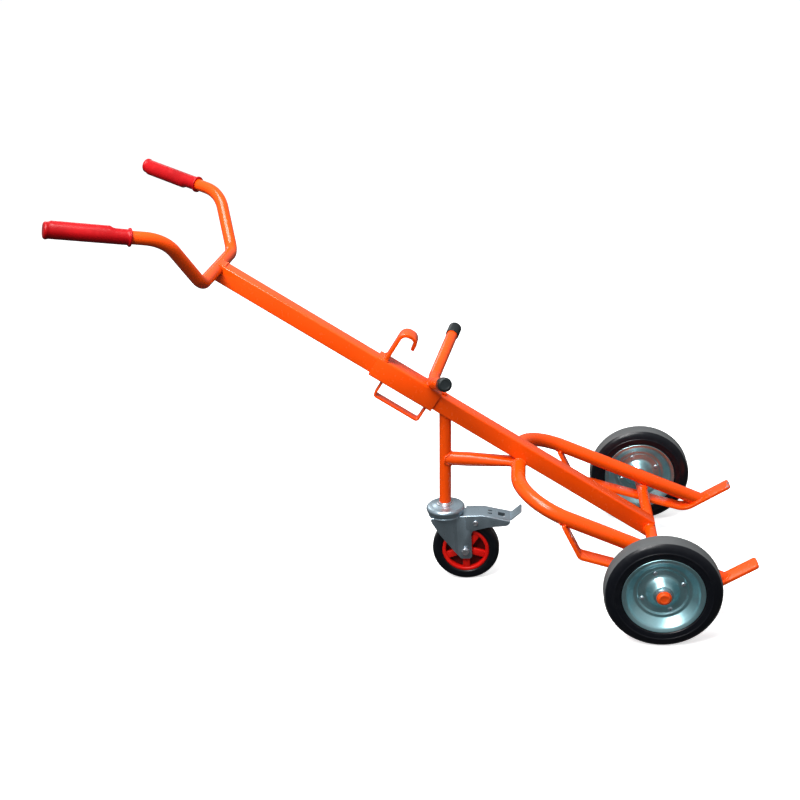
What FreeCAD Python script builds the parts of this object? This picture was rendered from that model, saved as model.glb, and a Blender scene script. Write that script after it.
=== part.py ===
import FreeCAD, Part
import math
import os

# Drum truck: a hand truck with a sliding chime hook and a braked support castor.
# Millimetres. X runs forwards to the toes, Y to the left, Z up.
# The origin is on the floor, midway between the two main wheels, under their axle.

V = FreeCAD.Vector

# ---- overall sizes
wheel_diameter = 250.0
track = 600.0
spine_slope = 35.0
handle_reach = 1168.0       # axle to the handlebar's centre, along the spine
castor_setback = 478.0      # axle to the castor's swivel axis, level
post_lean = 3.5             # the post leans forwards from the castor to the spine
castor_wheel_diameter = 160.0

# ---- tubes and bars
spine_size = 40.0
spine_wall = 3.0
handlebar_diameter = 28.0
handlebar_wall = 2.0
bow_diameter = 33.7
bow_wall = 2.6
bow_half_width = 200.0
bow_slope = 25.0
bow_notch = 6.8             # depth of the saddle cut in the bow where the spine lies in it
bow_bend_radius = 118.0
axle_tube_diameter = 26.9
axle_tube_half_length = 264.0
axle_diameter = 20.0
post_diameter = 28.0
post_wall = 2.5
brace_diameter = 33.0
brace_wall = 2.5
brace_end_height = 22.0
brace_end_half_width = 20.0
brace_drop = 14.0
brace_seat = 2.0            # brace's centre above the bow's centre
bar_width = 40.0
bar_thickness = 8.0
foot_slope = 18.0
toe_slope = 29.5
toe_tip_x = 213.0
toe_bend_x = 104.0
toe_bend_radius = 46.0
toe_corner_radius = 7.0
toe_free_margin = 2.0
leg_from_bow = 130.2        # bow's closed end to the corner of the leg, level
leg_slope = 66.5
leg_run = 34.0
leg_bend_radius = 13.0

# ---- handlebar shape, from its centre out to one grip
handle_half_centre = 141.0
handle_lift = 4.0
handle_rise_along = 101.0
handle_rise_up = 79.0
handle_rise_out = 95.0
grip_run_along = 198.0
grip_run_down = 69.5
grip_run_out = 108.5
handle_low_radius = 48.0
handle_high_radius = 88.0
grip_length = 172.0
grip_wall = 2.2
grip_end_wall = 4.0
grip_swell = 4.5
grip_swell_length = 128.0
grip_flange_diameter = 39.0
grip_flange_width = 5.0

# ---- carriage
carriage_rest = 588.0       # axle to the sleeve's lower end, along the spine, at rest on its stop
sleeve_wall = 4.5
sleeve_length = 166.0
sleeve_clearance = 0.5
hook_width = 46.0
hook_tip_width = 16.0
hook_thickness = 8.0
hook_setback = 17.0         # sleeve's upper end to the middle of the hook's leg
hook_height = 82.0          # sleeve's top to the crown of the hook
hook_bend_radius = 17.0
hook_tip_drop = 12.0
crossbar_diameter = 26.9
crossbar_wall = 2.6
crossbar_half_width = 196.0
crossbar_lift = 72.0
crossbar_half_flat = 24.0
crossbar_bend_radius = 40.0
crossbar_inset = 31.0       # sleeve's lower end to the crossbar's centre
cap_length = 34.0
cap_wall = 2.2
strap_length = 121.0
strap_depth = 44.0
strap_width = 25.0
strap_thickness = 5.0
strap_bend_radius = 6.0
strap_inset = 10.0
stop_across = 13.0          # stop bolt's head, across flats
stop_head = 5.3
stop_radius = 4.0
stop_length = 12.0

# ---- main wheels
hub_half_length = 28.0
hub_outer_diameter = 36.0
bearing_outer_diameter = 30.0
rim_lip_radius = 88.0
rim_seat_radius = 77.0
rim_floor_radius = 63.0
rim_half_width = 25.5
rim_sheet = 2.2
tread_half_width = 13.5
tyre_half_width = 26.5
rivet_circle_radius = 46.0
rivet_diameter = 7.0
rivet_head_diameter = 11.0
rivet_count = 4
rivet_turn = 20.0           # first rivet above the level line
washer_diameter = 32.0
axle_cap_flange_diameter = 32.0
axle_cap_diameter = 25.0
axle_cap_height = 7.5
axle_stub = 4.0             # axle's length inside its cap

# ---- castor
castor_height = 198.0
castor_trail = 43.0
castor_tread_half_width = 19.0
castor_rim_radius = 56.0
castor_boss_radius = 17.0
castor_bush_diameter = 15.0
castor_bolt_diameter = 10.0
castor_spokes = 5
castor_spoke_width = 16.0
race_taper = 2.4            # the upper race's skirt draws in by this much at its lower edge
fork_sheet = 3.0
fork_half_gap = 23.0
fork_top = 173.0
fork_disc_radius = 42.0
race_radius = 46.0
race_sheet = 3.0
race_depth = 20.5           # upper race's skirt, which covers the balls and the lower race
ball_diameter = 8.0
ball_circle_radius = 34.0
ball_count = 22
kingpin_diameter = 12.0
kingpin_head_radius = 12.0
pedal_sheet = 2.5
pedal_behind_race = 1.5
pedal_bend_reach = 90.0
pedal_reach = 153.0
pedal_max_tilt = 8.0

# ---- clearances
weld_gap = 0.1
push_fit = 0.02
running_fit = 0.05
pressed_gap = 0.1
side_play = 0.3
turning_gap = 0.8

# ---- worked-out places
axle_height = wheel_diameter / 2.0
slope_cos = math.cos(math.radians(spine_slope))
slope_sin = math.sin(math.radians(spine_slope))
along_x = V(-slope_cos, 0, slope_sin)
normal_x = V(slope_sin, 0, slope_cos)
axle_centre = V(0, 0, axle_height)
bow_radius = bow_diameter / 2.0
axle_tube_radius = axle_tube_diameter / 2.0
post_radius = post_diameter / 2.0
spine_half = spine_size / 2.0


def on_spine(along, lift, side):
    """A point given along the spine from the axle, square to it, and across."""
    return axle_centre + along_x * along + normal_x * lift + V(0, side, 0)


def spine_height(x):
    """Height of the spine's centre line above the floor at x."""
    return axle_height - x * slope_sin / slope_cos


# The bow's arms rest on the axle tube and its closed end is saddled under the spine.
bow_height_at_axle = axle_height + (bow_radius + axle_tube_radius + weld_gap) / math.cos(
    math.radians(bow_slope))
spine_underside_drop = (spine_half + bow_radius - bow_notch) / slope_cos
bow_rise = math.tan(math.radians(bow_slope))
bow_x = -(bow_height_at_axle - axle_height + spine_underside_drop) / (slope_sin / slope_cos - bow_rise)
bow_z = bow_height_at_axle - bow_x * bow_rise
foot_rise = math.tan(math.radians(foot_slope))
foot_height_at_axle = axle_height - (axle_tube_radius + bar_thickness / 2.0 + weld_gap) / math.cos(
    math.radians(foot_slope))


# ---- helpers

def box(x0, x1, y0, y1, z0, z1):
    return Part.makeBox(x1 - x0, y1 - y0, z1 - z0, V(x0, y0, z0))


def rod(start, end, radius):
    return Part.makeCylinder(radius, start.distanceToPoint(end), start, end - start)


def pipe(start, end, outer, inner):
    return rod(start, end, outer).cut(rod(start, end, inner))


def solid_of(shape):
    """The one solid in a result, as a plain solid."""
    solids = shape.Solids
    if len(solids) != 1:
        raise ValueError("expected one solid, found %d" % len(solids))
    return solids[0]


def rounded_path(points, radii):
    """Straight runs joined by tangent arcs; one radius for each inner point."""
    edges = []
    last = points[0]
    for i in range(1, len(points) - 1):
        into = (points[i - 1] - points[i]).normalize()
        out = (points[i + 1] - points[i]).normalize()
        turn = math.pi - into.getAngle(out)
        reach = radii[i - 1] * math.tan(turn / 2.0)
        first = points[i] + into * reach
        second = points[i] + out * reach
        middle_line = (into + out).normalize()
        centre = points[i] + middle_line * (radii[i - 1] / math.cos(turn / 2.0))
        middle = centre - middle_line * radii[i - 1]
        edges.append(Part.LineSegment(last, first).toShape())
        edges.append(Part.Arc(first, middle, second).toShape())
        last = second
    edges.append(Part.LineSegment(last, points[-1]).toShape())
    return Part.Wire(edges)


def sweep(path, section):
    return path.makePipeShell([section], True, True)


def bent_tube(points, radii, outer, inner):
    """A round tube bent along a path."""
    path = rounded_path(points, radii)
    heading = points[1] - points[0]
    outside = sweep(path, Part.Wire([Part.Circle(points[0], heading, outer).toShape()]))
    inside = sweep(path, Part.Wire([Part.Circle(points[0], heading, inner).toShape()]))
    return outside.cut(inside)


def bent_strip(points, radii, thickness, width, side):
    """A flat strip bent in an upright plane, its width across the truck, centred on side."""
    path = rounded_path(points, radii)
    heading = (points[1] - points[0]).normalize()
    up = heading.cross(V(0, 1, 0)) * (thickness / 2.0)
    out = V(0, width / 2.0, 0)
    corners = [points[0] + up + out, points[0] + up - out, points[0] - up - out, points[0] - up + out]
    section = Part.makePolygon(corners + [corners[0]])
    strip = sweep(path, section)
    strip.translate(V(0, side, 0))
    return strip


def turned(profile, centre, axis):
    """A closed profile of (radius, distance along the axis) turned about the axis."""
    across = V(0, 0, 1) if abs(axis.z) < 0.5 else V(1, 0, 0)
    points = [centre + across * r + axis * a for r, a in profile]
    face = Part.Face(Part.makePolygon(points + [points[0]]))
    return face.revolve(centre, axis, 360)


def plate(outline, low_y, high_y):
    """An upright plate from an outline of (x, z) corners."""
    points = [V(x, low_y, z) for x, z in outline]
    face = Part.Face(Part.makePolygon(points + [points[0]]))
    return face.extrude(V(0, high_y - low_y, 0))


def slab(outline, low_z, high_z):
    """A level plate from an outline of (x, y) corners."""
    points = [V(x, y, low_z) for x, y in outline]
    face = Part.Face(Part.makePolygon(points + [points[0]]))
    return face.extrude(V(0, 0, high_z - low_z))


def rounded(shape, radius, wanted):
    """Round the edges whose middle point the test picks out."""
    edges = [e for e in shape.Edges if wanted(e)]
    return shape.makeFillet(radius, edges)


def square_bar(size, start, end):
    """A square bar along the spine."""
    half = size / 2.0
    corners = [on_spine(start, half, half), on_spine(start, half, -half),
               on_spine(start, -half, -half), on_spine(start, -half, half)]
    face = Part.Face(Part.makePolygon(corners + [corners[0]]))
    return face.extrude(along_x * (end - start))


def outer_corners(size):
    """Picks a square bar's long outer edges."""
    def test(edge):
        middle = edge.valueAt((edge.FirstParameter + edge.LastParameter) / 2.0) - axle_centre
        lift = middle.dot(normal_x)
        straight = edge.Curve.TypeId == "Part::GeomLine"
        return straight and abs(abs(lift) - size / 2.0) < 0.01 and abs(abs(middle.y) - size / 2.0) < 0.01
    return test


parts = {}

# ---- frame: spine, a square tube coped onto the axle tube and round the handlebar
handle_centre = on_spine(handle_reach, handle_lift, 0)
spine_bar = rounded(square_bar(spine_size, 0, handle_reach), spine_wall, outer_corners(spine_size))
spine_hollow = square_bar(spine_size - 2 * spine_wall, -1, handle_reach + 1)
axle_cope = rod(V(0, -spine_size, axle_height), V(0, spine_size, axle_height), axle_tube_radius + weld_gap)
handle_cope = rod(handle_centre - V(0, spine_size, 0), handle_centre + V(0, spine_size, 0),
                  handlebar_diameter / 2.0 + weld_gap)
spine_foot_cut = square_bar(2 * spine_size, -spine_size, 0)
spine_shape = spine_bar.cut(spine_hollow).cut(axle_cope).cut(handle_cope).cut(spine_foot_cut)
stop_along = carriage_rest - side_play - stop_across / 2.0
stop_seat = on_spine(stop_along, spine_half + weld_gap, 0)
stop_hole = rod(stop_seat + normal_x, stop_seat - normal_x * (spine_wall + 2), stop_radius + push_fit)
spine_shape = spine_shape.cut(stop_hole)
parts["spine_tube"] = max(spine_shape.Solids, key=lambda s: s.Volume)

# ---- frame: handlebar, one bent tube; its centre lies across the spine's end
handle_points = []
for side in (-1, 1):
    low = on_spine(handle_reach, handle_lift, side * handle_half_centre)
    high = low + along_x * handle_rise_along + normal_x * handle_rise_up + V(0, side * handle_rise_out, 0)
    end = high + along_x * grip_run_along - normal_x * grip_run_down + V(0, side * grip_run_out, 0)
    handle_points.append([low, high, end])
right_points, left_points = handle_points
handle_radius = handlebar_diameter / 2.0
handle_bends = [handle_high_radius, handle_low_radius, handle_low_radius, handle_high_radius]
parts["handlebar"] = solid_of(bent_tube(right_points[::-1] + left_points, handle_bends,
                                        handle_radius, handle_radius - handlebar_wall))


def hand_grip(points, swell_turn):
    """A closed rubber sleeve with a flange, a rounded end and a swell for the palm."""
    low, high, end = points
    outward = (end - high).normalize()
    inner_end = end + outward * (push_fit + grip_end_wall) - outward * grip_length
    bore = handle_radius + push_fit
    skin = bore + grip_wall
    flange = grip_flange_diameter / 2.0
    lip = skin + 1.6
    profile = [(0, 0), (flange - 1.2, 0), (flange, 1.2), (flange, grip_flange_width - 1.2),
               (flange - 1.2, grip_flange_width), (skin, grip_flange_width + 1.5),
               (skin, grip_length - 9), (lip, grip_length - 6), (lip, grip_length - 3),
               (lip - 3, grip_length), (0, grip_length)]
    body = turned(profile, inner_end, outward)
    # The swell is a second, fatter barrel set to one side over the outer part of the grip.
    across = outward.cross(V(0, 0, 1)).normalize()
    upward = across.cross(outward).normalize()
    turn = math.radians(swell_turn)
    shift = (upward * math.cos(turn) + across * math.sin(turn)) * grip_swell
    swell_start = grip_length - grip_swell_length - 8
    swell_end = grip_length - 8
    swell_profile = [(0, swell_start), (skin - grip_swell, swell_start), (skin - 0.4, swell_start + 10),
                     (skin - 0.4, swell_end - 5), (skin - 3, swell_end), (0, swell_end)]
    swell = turned(swell_profile, inner_end + shift, outward)
    hollow = rod(inner_end - outward, end + outward * push_fit, bore)
    return solid_of(body.fuse(swell).cut(hollow))


parts["grip_right"] = hand_grip(right_points, 20)
parts["grip_left"] = hand_grip(left_points, 215)

# ---- frame: bow, one tube bent to a U; it lies on the axle tube, its ends mitred onto the toes
toe_rise = math.tan(math.radians(toe_slope))
toe_bend_z = foot_height_at_axle - toe_bend_x * foot_rise


def toe_height(x):
    """Height of the toe's centre line at x."""
    return toe_bend_z + (x - toe_bend_x) * toe_rise


def foot_height(x):
    """Height of the foot bar's long run at x."""
    return foot_height_at_axle - x * foot_rise


bow_front_x = toe_bend_x + 62.0
bow_front_z = bow_height_at_axle - bow_front_x * bow_rise
bow_points = [V(bow_front_x, -bow_half_width, bow_front_z), V(bow_x, -bow_half_width, bow_z),
              V(bow_x, bow_half_width, bow_z), V(bow_front_x, bow_half_width, bow_front_z)]
bow_tube = bent_tube(bow_points, [bow_bend_radius, bow_bend_radius], bow_radius, bow_radius - bow_wall)
half_bar = bar_thickness / 2.0
toe_square = V(-math.sin(math.radians(toe_slope)), 0, math.cos(math.radians(toe_slope)))
toe_top = V(toe_bend_x, 0, toe_bend_z) + toe_square * (half_bar + weld_gap)
below_toe = Part.makeBox(400, 800, 200, V(-200, -400, -200))
below_toe.Placement = FreeCAD.Placement(toe_top, FreeCAD.Rotation(V(0, 1, 0), -toe_slope))
foot_square = V(math.sin(math.radians(foot_slope)), 0, math.cos(math.radians(foot_slope)))
foot_top = V(toe_bend_x, 0, toe_bend_z) + foot_square * (half_bar + weld_gap)
below_foot = Part.makeBox(200, 800, 200, V(-60, -400, -200))
below_foot.Placement = FreeCAD.Placement(foot_top, FreeCAD.Rotation(V(0, 1, 0), foot_slope))
spine_saddle = square_bar(spine_size + 2 * weld_gap, 0, handle_reach)
parts["bow_tube"] = solid_of(bow_tube.cut(below_toe).cut(below_foot).cut(spine_saddle))

# ---- frame: foot bars, flat bar bent up at the front into toes and at the back into legs
leg_rise = math.tan(math.radians(leg_slope))
leg_corner_x = bow_x + leg_from_bow
leg_corner_z = foot_height(leg_corner_x)
leg_top_x = leg_corner_x - leg_run
leg_top_z = leg_corner_z + leg_run * leg_rise


def toe_tip_corner(edge):
    """The four short edges at the toe's tip."""
    box_of_edge = edge.BoundBox
    flat = box_of_edge.YLength < 0.01
    return flat and edge.Length < bar_thickness + 0.5 and box_of_edge.XMin > toe_tip_x - bar_thickness


# The toe's top is free from the bow's end onwards: that part is a face of its own, for the drum.
toe_top_at_axle = toe_height(0) + (half_bar + weld_gap) / math.cos(math.radians(toe_slope))
bow_top_at_axle = bow_height_at_axle + bow_radius / math.cos(math.radians(bow_slope))
bow_end_x = (bow_top_at_axle - toe_top_at_axle) / (bow_rise + toe_rise)
toe_free_start = V(bow_end_x + toe_free_margin, 0, toe_height(bow_end_x + toe_free_margin))
beyond_bow = Part.makeBox(200, 800, 200, V(0, -400, -100))
beyond_bow.Placement = FreeCAD.Placement(toe_free_start, FreeCAD.Rotation(V(0, 1, 0), -toe_slope))

for name, side in (("foot_bar_right", -bow_half_width), ("foot_bar_left", bow_half_width)):
    bar_points = [V(leg_top_x, 0, leg_top_z), V(leg_corner_x, 0, leg_corner_z),
                  V(toe_bend_x, 0, toe_bend_z), V(toe_tip_x, 0, toe_height(toe_tip_x))]
    bar = bent_strip(bar_points, [leg_bend_radius, toe_bend_radius], bar_thickness, bar_width, side)
    bar = rounded(bar, toe_corner_radius, toe_tip_corner)
    arm = rod(V(bow_x, side, bow_z), V(0, side, bow_height_at_axle), bow_radius + weld_gap)
    above_arm = box(leg_top_x - 60, leg_corner_x + 20, side - 60, side + 60, 0, 100)
    above_arm.rotate(V(0, 0, 0), V(0, 1, 0), bow_slope)
    above_arm.translate(V(0, 0, bow_height_at_axle))
    bar = bar.cut(arm).cut(above_arm)
    bar = max(bar.Solids, key=lambda s: s.Volume)
    parts[name] = solid_of(bar.cut(beyond_bow).fuse(bar.common(beyond_bow)))

# ---- frame: axle tube between the foot bars and the bow, with the solid axle through it
left_end = V(0, axle_tube_half_length, axle_height)
right_end = V(0, -axle_tube_half_length, axle_height)
parts["axle_tube"] = pipe(right_end, left_end, axle_tube_radius, axle_diameter / 2.0 + push_fit)
hub_inner_y = track / 2.0 - hub_half_length
hub_outer_y = track / 2.0 + hub_half_length
outer_washer_y = hub_outer_y + side_play
outer_washer = 2.0
cap_y = outer_washer_y + outer_washer + weld_gap
axle_end_y = cap_y + axle_stub
parts["axle_shaft"] = rod(V(0, -axle_end_y, axle_height), V(0, axle_end_y, axle_height), axle_diameter / 2.0)

# ---- frame: spacer rings inside the wheels and thrust washers outside them
rings = []
for side in (-1, 1):
    bore = axle_diameter / 2.0 + push_fit
    start = V(0, side * (axle_tube_half_length + weld_gap), axle_height)
    stop = V(0, side * (hub_inner_y - side_play), axle_height)
    rings.append(pipe(start, stop, washer_diameter / 2.0, bore))
parts["hub_spacers"] = Part.makeCompound(rings)
rings = []
for side in (-1, 1):
    start = V(0, side * outer_washer_y, axle_height)
    stop = V(0, side * (outer_washer_y + outer_washer), axle_height)
    rings.append(pipe(start, stop, washer_diameter / 2.0, axle_diameter / 2.0 + push_fit))
parts["thrust_washers"] = Part.makeCompound(rings)

# ---- frame: castor post, brace and the threaded plug in the post's foot
above_spine = square_bar(spine_size * 3, 0, handle_reach)
above_spine.translate(normal_x * (spine_size * 1.5 - spine_half - weld_gap))
post_heading = V(math.sin(math.radians(post_lean)), 0, math.cos(math.radians(post_lean)))
post_foot = V(-castor_setback, 0, castor_height)
post_start = post_foot - post_heading * 10
post_top = post_foot + post_heading * (spine_height(-castor_setback) - castor_height)
post_tube = pipe(post_start, post_top, post_radius, post_radius - post_wall)
below_post = box(-castor_setback - 60, -castor_setback + 60, -60, 60, castor_height - 60, castor_height)
parts["castor_post"] = solid_of(post_tube.cut(above_spine).cut(below_post))
plug_height = 42.0
plug = rod(post_start, post_foot + post_heading * plug_height, post_radius - post_wall - push_fit)
plug_bore = rod(post_foot - V(0, 0, 20), post_foot + V(0, 0, plug_height + 20),
                kingpin_diameter / 2.0 + push_fit)
parts["post_plug"] = solid_of(plug.cut(below_post).cut(plug_bore))

brace_stop = V(bow_x, 0, bow_z + brace_seat)
brace_start_z = bow_z + brace_seat + brace_drop
brace_start = post_foot + post_heading * ((brace_start_z - castor_height) / post_heading.z)


def brace_body(inset):
    """The brace's outline: round at the post and pressed flat towards the bow."""
    heading = (brace_stop - brace_start).normalize()
    rise = heading.cross(V(0, 1, 0)) * -1
    round_radius = brace_diameter / 2.0 - inset
    pressed = Part.Ellipse(V(0, 0, 0), brace_end_half_width - inset, brace_end_height / 2.0 - inset)
    pressed_edge = pressed.toShape()
    turn = FreeCAD.Matrix(0, heading.cross(rise).x, heading.x, 0, 0, 0, 0, 0, 0, 0, 0, 0, 0, 0, 0, 1)
    side_axis = V(0, 1, 0)
    turn.A11, turn.A21, turn.A31 = side_axis.x, side_axis.y, side_axis.z
    turn.A12, turn.A22, turn.A32 = rise.x, rise.y, rise.z
    turn.A13, turn.A23, turn.A33 = heading.x, heading.y, heading.z
    turned_section = pressed_edge.transformGeometry(turn)
    turned_section.translate(brace_stop)
    circle = Part.Ellipse(V(0, 0, 0), round_radius + 0.001, round_radius).toShape().transformGeometry(turn)
    circle.translate(brace_start)
    return Part.makeLoft([Part.Wire([circle]), Part.Wire([turned_section])], True, True)


post_cope = rod(post_start, post_top, post_radius + weld_gap)
bow_cope = rod(V(bow_x, -60, bow_z), V(bow_x, 60, bow_z), bow_radius + weld_gap)
brace_tube = brace_body(0).cut(brace_body(brace_wall)).cut(post_cope).cut(bow_cope)
parts["post_brace"] = max(brace_tube.Solids, key=lambda s: s.Volume)

# ---- main wheels: tyre, two riveted rim halves, hub tube, roller bearing
tyre_profile = [(wheel_diameter / 2.0, tread_half_width),
                (wheel_diameter / 2.0 - 1.5, tread_half_width + 2.5),
                (wheel_diameter / 2.0 - 6, tyre_half_width - 5),
                (wheel_diameter / 2.0 - 13, tyre_half_width - 1.5),
                (wheel_diameter / 2.0 - 20, tyre_half_width - 0.3),
                (wheel_diameter / 2.0 - 22, tyre_half_width + 1.0),
                (wheel_diameter / 2.0 - 24.5, tyre_half_width - 0.3),
                (rim_lip_radius + 3, tyre_half_width - 1),
                (rim_lip_radius + pressed_gap, rim_half_width - 2.9)]
# The tyre's seat follows the backs of the two rim halves.
seat_profile = [(rim_lip_radius - 2.4, rim_half_width - rim_sheet - 1.2),
                (rim_seat_radius + rim_sheet + 1.6, rim_half_width - rim_sheet - 3.2),
                (rim_seat_radius + rim_sheet + 0.5, rim_half_width - rim_sheet - 4.6),
                (rim_floor_radius + rim_sheet + 0.6, 4.5)]


def mirrored_profile(half):
    """Close a profile by repeating its upper half, turned over, below."""
    return half + [(r, -a) for r, a in reversed(half)]


tyre_half = tyre_profile + seat_profile
tyre_outline = mirrored_profile(tyre_half)

rivet_ring_in = rivet_circle_radius - rivet_head_diameter / 2.0 - 1.0
rivet_ring_out = rivet_circle_radius + rivet_head_diameter / 2.0 + 0.8
rim_front = rim_sheet + weld_gap
hub_grip = hub_outer_diameter / 2.0 + push_fit
rim_outside = [(hub_grip, 22.0), (hub_grip + 3.5, 22.0), (31.0, 8.0), (rivet_ring_in - 4, rim_front + 1.3),
               (rivet_ring_in, rim_front), (rivet_ring_out, rim_front),
               (rivet_ring_out + 3.0, rim_front + 3.1),
               (rim_floor_radius - 1.5, rim_front + 3.1), (rim_floor_radius, rim_front + 4.1),
               (rim_seat_radius - 1.5, rim_half_width - 7), (rim_seat_radius, rim_half_width - 4.5),
               (rim_seat_radius + 2.5, rim_half_width - 2.5), (rim_lip_radius - 3, rim_half_width - 0.6),
               (rim_lip_radius - 1, rim_half_width), (rim_lip_radius, rim_half_width - 1.2)]
rim_inside = [(rim_lip_radius, rim_half_width - 2.6), (rim_lip_radius - 2.5, rim_half_width - 2.9),
              (rim_seat_radius + 3.4, rim_half_width - 4.9),
              (rim_seat_radius + 2.2, rim_half_width - 6.6),
              (rim_floor_radius + rim_sheet, rim_front + 2.6),
              (rim_floor_radius - 0.4, weld_gap + 3.1), (rivet_ring_out + 3.8, weld_gap + 3.1),
              (rivet_ring_out + 0.8, weld_gap), (rivet_ring_in - 0.8, weld_gap),
              (rivet_ring_in - 5.0, weld_gap + 1.4), (29.3, 6.2), (hub_grip + 2.0, 19.4), (hub_grip, 19.4)]
rim_outline = rim_outside + rim_inside


def wheel_parts(name, side):
    """The pieces of one main wheel; side is 1 for left, -1 for right."""
    outward = V(0, side, 0)
    centre = V(0, side * track / 2.0, axle_height)
    inner_end = centre - outward * hub_half_length
    outer_end = centre + outward * hub_half_length
    parts["tyre_" + name] = turned(tyre_outline, centre, outward)
    parts["rim_outer_" + name] = turned(rim_outline, centre, outward)
    parts["rim_inner_" + name] = turned(rim_outline, centre, outward * -1)
    parts["hub_tube_" + name] = pipe(inner_end, outer_end, hub_outer_diameter / 2.0,
                                     bearing_outer_diameter / 2.0 + push_fit)
    parts["roller_bearing_" + name] = pipe(inner_end, outer_end, bearing_outer_diameter / 2.0,
                                           axle_diameter / 2.0 + running_fit)
    rivets = []
    for i in range(rivet_count):
        angle = math.radians(rivet_turn + i * 360.0 / rivet_count)
        place = centre + V(math.cos(angle), 0, math.sin(angle)) * rivet_circle_radius
        reach = rim_front + push_fit
        shank = rod(place - outward * (reach + 1), place + outward * (reach + 1), rivet_diameter / 2.0)
        for way in (-1, 1):
            head_start = place + outward * (way * reach)
            head = Part.makeCone(rivet_head_diameter / 2.0, rivet_head_diameter / 4.0, 2.8,
                                 head_start, outward * way)
            shank = shank.fuse(head)
        rivets.append(solid_of(shank))
        hole = rod(place - outward * 6, place + outward * 6, rivet_diameter / 2.0 + push_fit)
        for half in ("rim_outer_", "rim_inner_"):
            parts[half + name] = parts[half + name].cut(hole)
    for half in ("rim_outer_", "rim_inner_"):
        parts[half + name] = solid_of(parts[half + name])
    parts["rim_rivets_" + name] = Part.makeCompound(rivets)
    # Axle cap: a flanged button pushed onto the axle's end.
    cap_profile = [(0, 0), (axle_cap_flange_diameter / 2.0, 0), (axle_cap_flange_diameter / 2.0, 2.0),
                   (axle_cap_flange_diameter / 2.0 - 0.8, 2.8), (axle_cap_diameter / 2.0 + 0.5, 2.8),
                   (axle_cap_diameter / 2.0, 3.4), (axle_cap_diameter / 2.0, axle_cap_height - 2),
                   (axle_cap_diameter / 2.0 - 2, axle_cap_height), (0, axle_cap_height)]
    cap_base = V(0, side * cap_y, axle_height)
    cap = turned(cap_profile, cap_base, outward)
    socket = rod(cap_base - outward, cap_base + outward * (axle_stub + push_fit),
                 axle_diameter / 2.0 + push_fit)
    parts["axle_cap_" + name] = solid_of(cap.cut(socket))


wheel_parts("left", 1)
wheel_parts("right", -1)

# ---- frame: stop bolt in the spine's top face; the sleeve's lower end rests against its head
stop_ring = []
for i in range(6):
    angle = math.radians(60 * i + 30)
    corner = stop_across / math.sqrt(3.0)
    stop_ring.append(stop_seat + along_x * (corner * math.cos(angle)) + V(0, corner * math.sin(angle), 0))
stop_bolt = Part.Face(Part.makePolygon(stop_ring + [stop_ring[0]])).extrude(normal_x * stop_head)
stop_bolt = stop_bolt.fuse(rod(stop_seat, stop_seat - normal_x * stop_length, stop_radius))
parts["stop_bolt"] = solid_of(stop_bolt)

# ---- carriage: sleeve, a square tube over the spine
sleeve_low = carriage_rest
sleeve_high = sleeve_low + sleeve_length
sleeve_bore = spine_size + 2 * sleeve_clearance
sleeve_size = sleeve_bore + 2 * sleeve_wall
sleeve_half = sleeve_size / 2.0
sleeve_bar = rounded(square_bar(sleeve_size, sleeve_low, sleeve_high), sleeve_wall * 0.8,
                     outer_corners(sleeve_size))
parts["sleeve"] = solid_of(sleeve_bar.cut(square_bar(sleeve_bore, sleeve_low - 1, sleeve_high + 1)))

# ---- carriage: chime hook, a plate bent over and tapered, welded upright on the sleeve
hook_leg = sleeve_high - hook_setback
hook_seat = sleeve_half + weld_gap
hook_crown = sleeve_half + hook_height - hook_thickness / 2.0
hook_reach = 2 * hook_bend_radius + 2.0
hook_points = [on_spine(hook_leg, hook_seat, 0),
               on_spine(hook_leg, hook_crown, 0), on_spine(hook_leg - hook_reach, hook_crown, 0),
               on_spine(hook_leg - hook_reach - 3, hook_crown - hook_bend_radius - hook_tip_drop, 0)]
hook_strip = bent_strip(hook_points, [hook_bend_radius, hook_bend_radius * 0.9],
                        hook_thickness, hook_width, 0)
taper_low = hook_crown - hook_bend_radius - hook_tip_drop - hook_thickness
taper_high = hook_crown + hook_thickness
taper_mid = hook_leg - hook_reach + hook_bend_radius
for side in (-1, 1):
    tip_edge = [on_spine(taper_mid, taper_high, side * hook_width / 2.0),
                on_spine(taper_mid, taper_low, side * hook_tip_width / 2.0)]
    flat = Part.Face(Part.makePolygon([tip_edge[0], on_spine(taper_mid, taper_low, side * hook_width),
                                       tip_edge[1], tip_edge[0]]))
    wedge = flat.extrude(along_x * -60)
    hook_strip = hook_strip.cut(wedge)
parts["chime_hook"] = solid_of(hook_strip)

# ---- carriage: crossbar, one tube bent to a shallow V, with a black cap on each end
crossbar_along = sleeve_low + crossbar_inset
crossbar_radius = crossbar_diameter / 2.0
crossbar_base = sleeve_half + weld_gap + crossbar_radius
crossbar_top = crossbar_base + crossbar_lift
crossbar_points = [on_spine(crossbar_along, crossbar_top, -crossbar_half_width),
                   on_spine(crossbar_along, crossbar_base, -crossbar_half_flat),
                   on_spine(crossbar_along, crossbar_base, crossbar_half_flat),
                   on_spine(crossbar_along, crossbar_top, crossbar_half_width)]
parts["crossbar"] = solid_of(bent_tube(crossbar_points, [crossbar_bend_radius, crossbar_bend_radius],
                                       crossbar_radius, crossbar_radius - crossbar_wall))
for name, first, second in (("crossbar_cap_right", crossbar_points[0], crossbar_points[1]),
                            ("crossbar_cap_left", crossbar_points[3], crossbar_points[2])):
    outward = (first - second).normalize()
    cap_outer = crossbar_radius + push_fit + cap_wall
    cap_start = first - outward * (cap_length - grip_end_wall)
    cap_profile = [(0, 0), (cap_outer, 0), (cap_outer, cap_length - 4), (cap_outer - 1.2, cap_length - 1.6),
                   (cap_outer - 4, cap_length), (0, cap_length)]
    cap = turned(cap_profile, cap_start, outward)
    cap = cap.cut(rod(cap_start - outward, first + outward * push_fit, crossbar_radius + push_fit))
    parts[name] = solid_of(cap)

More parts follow.
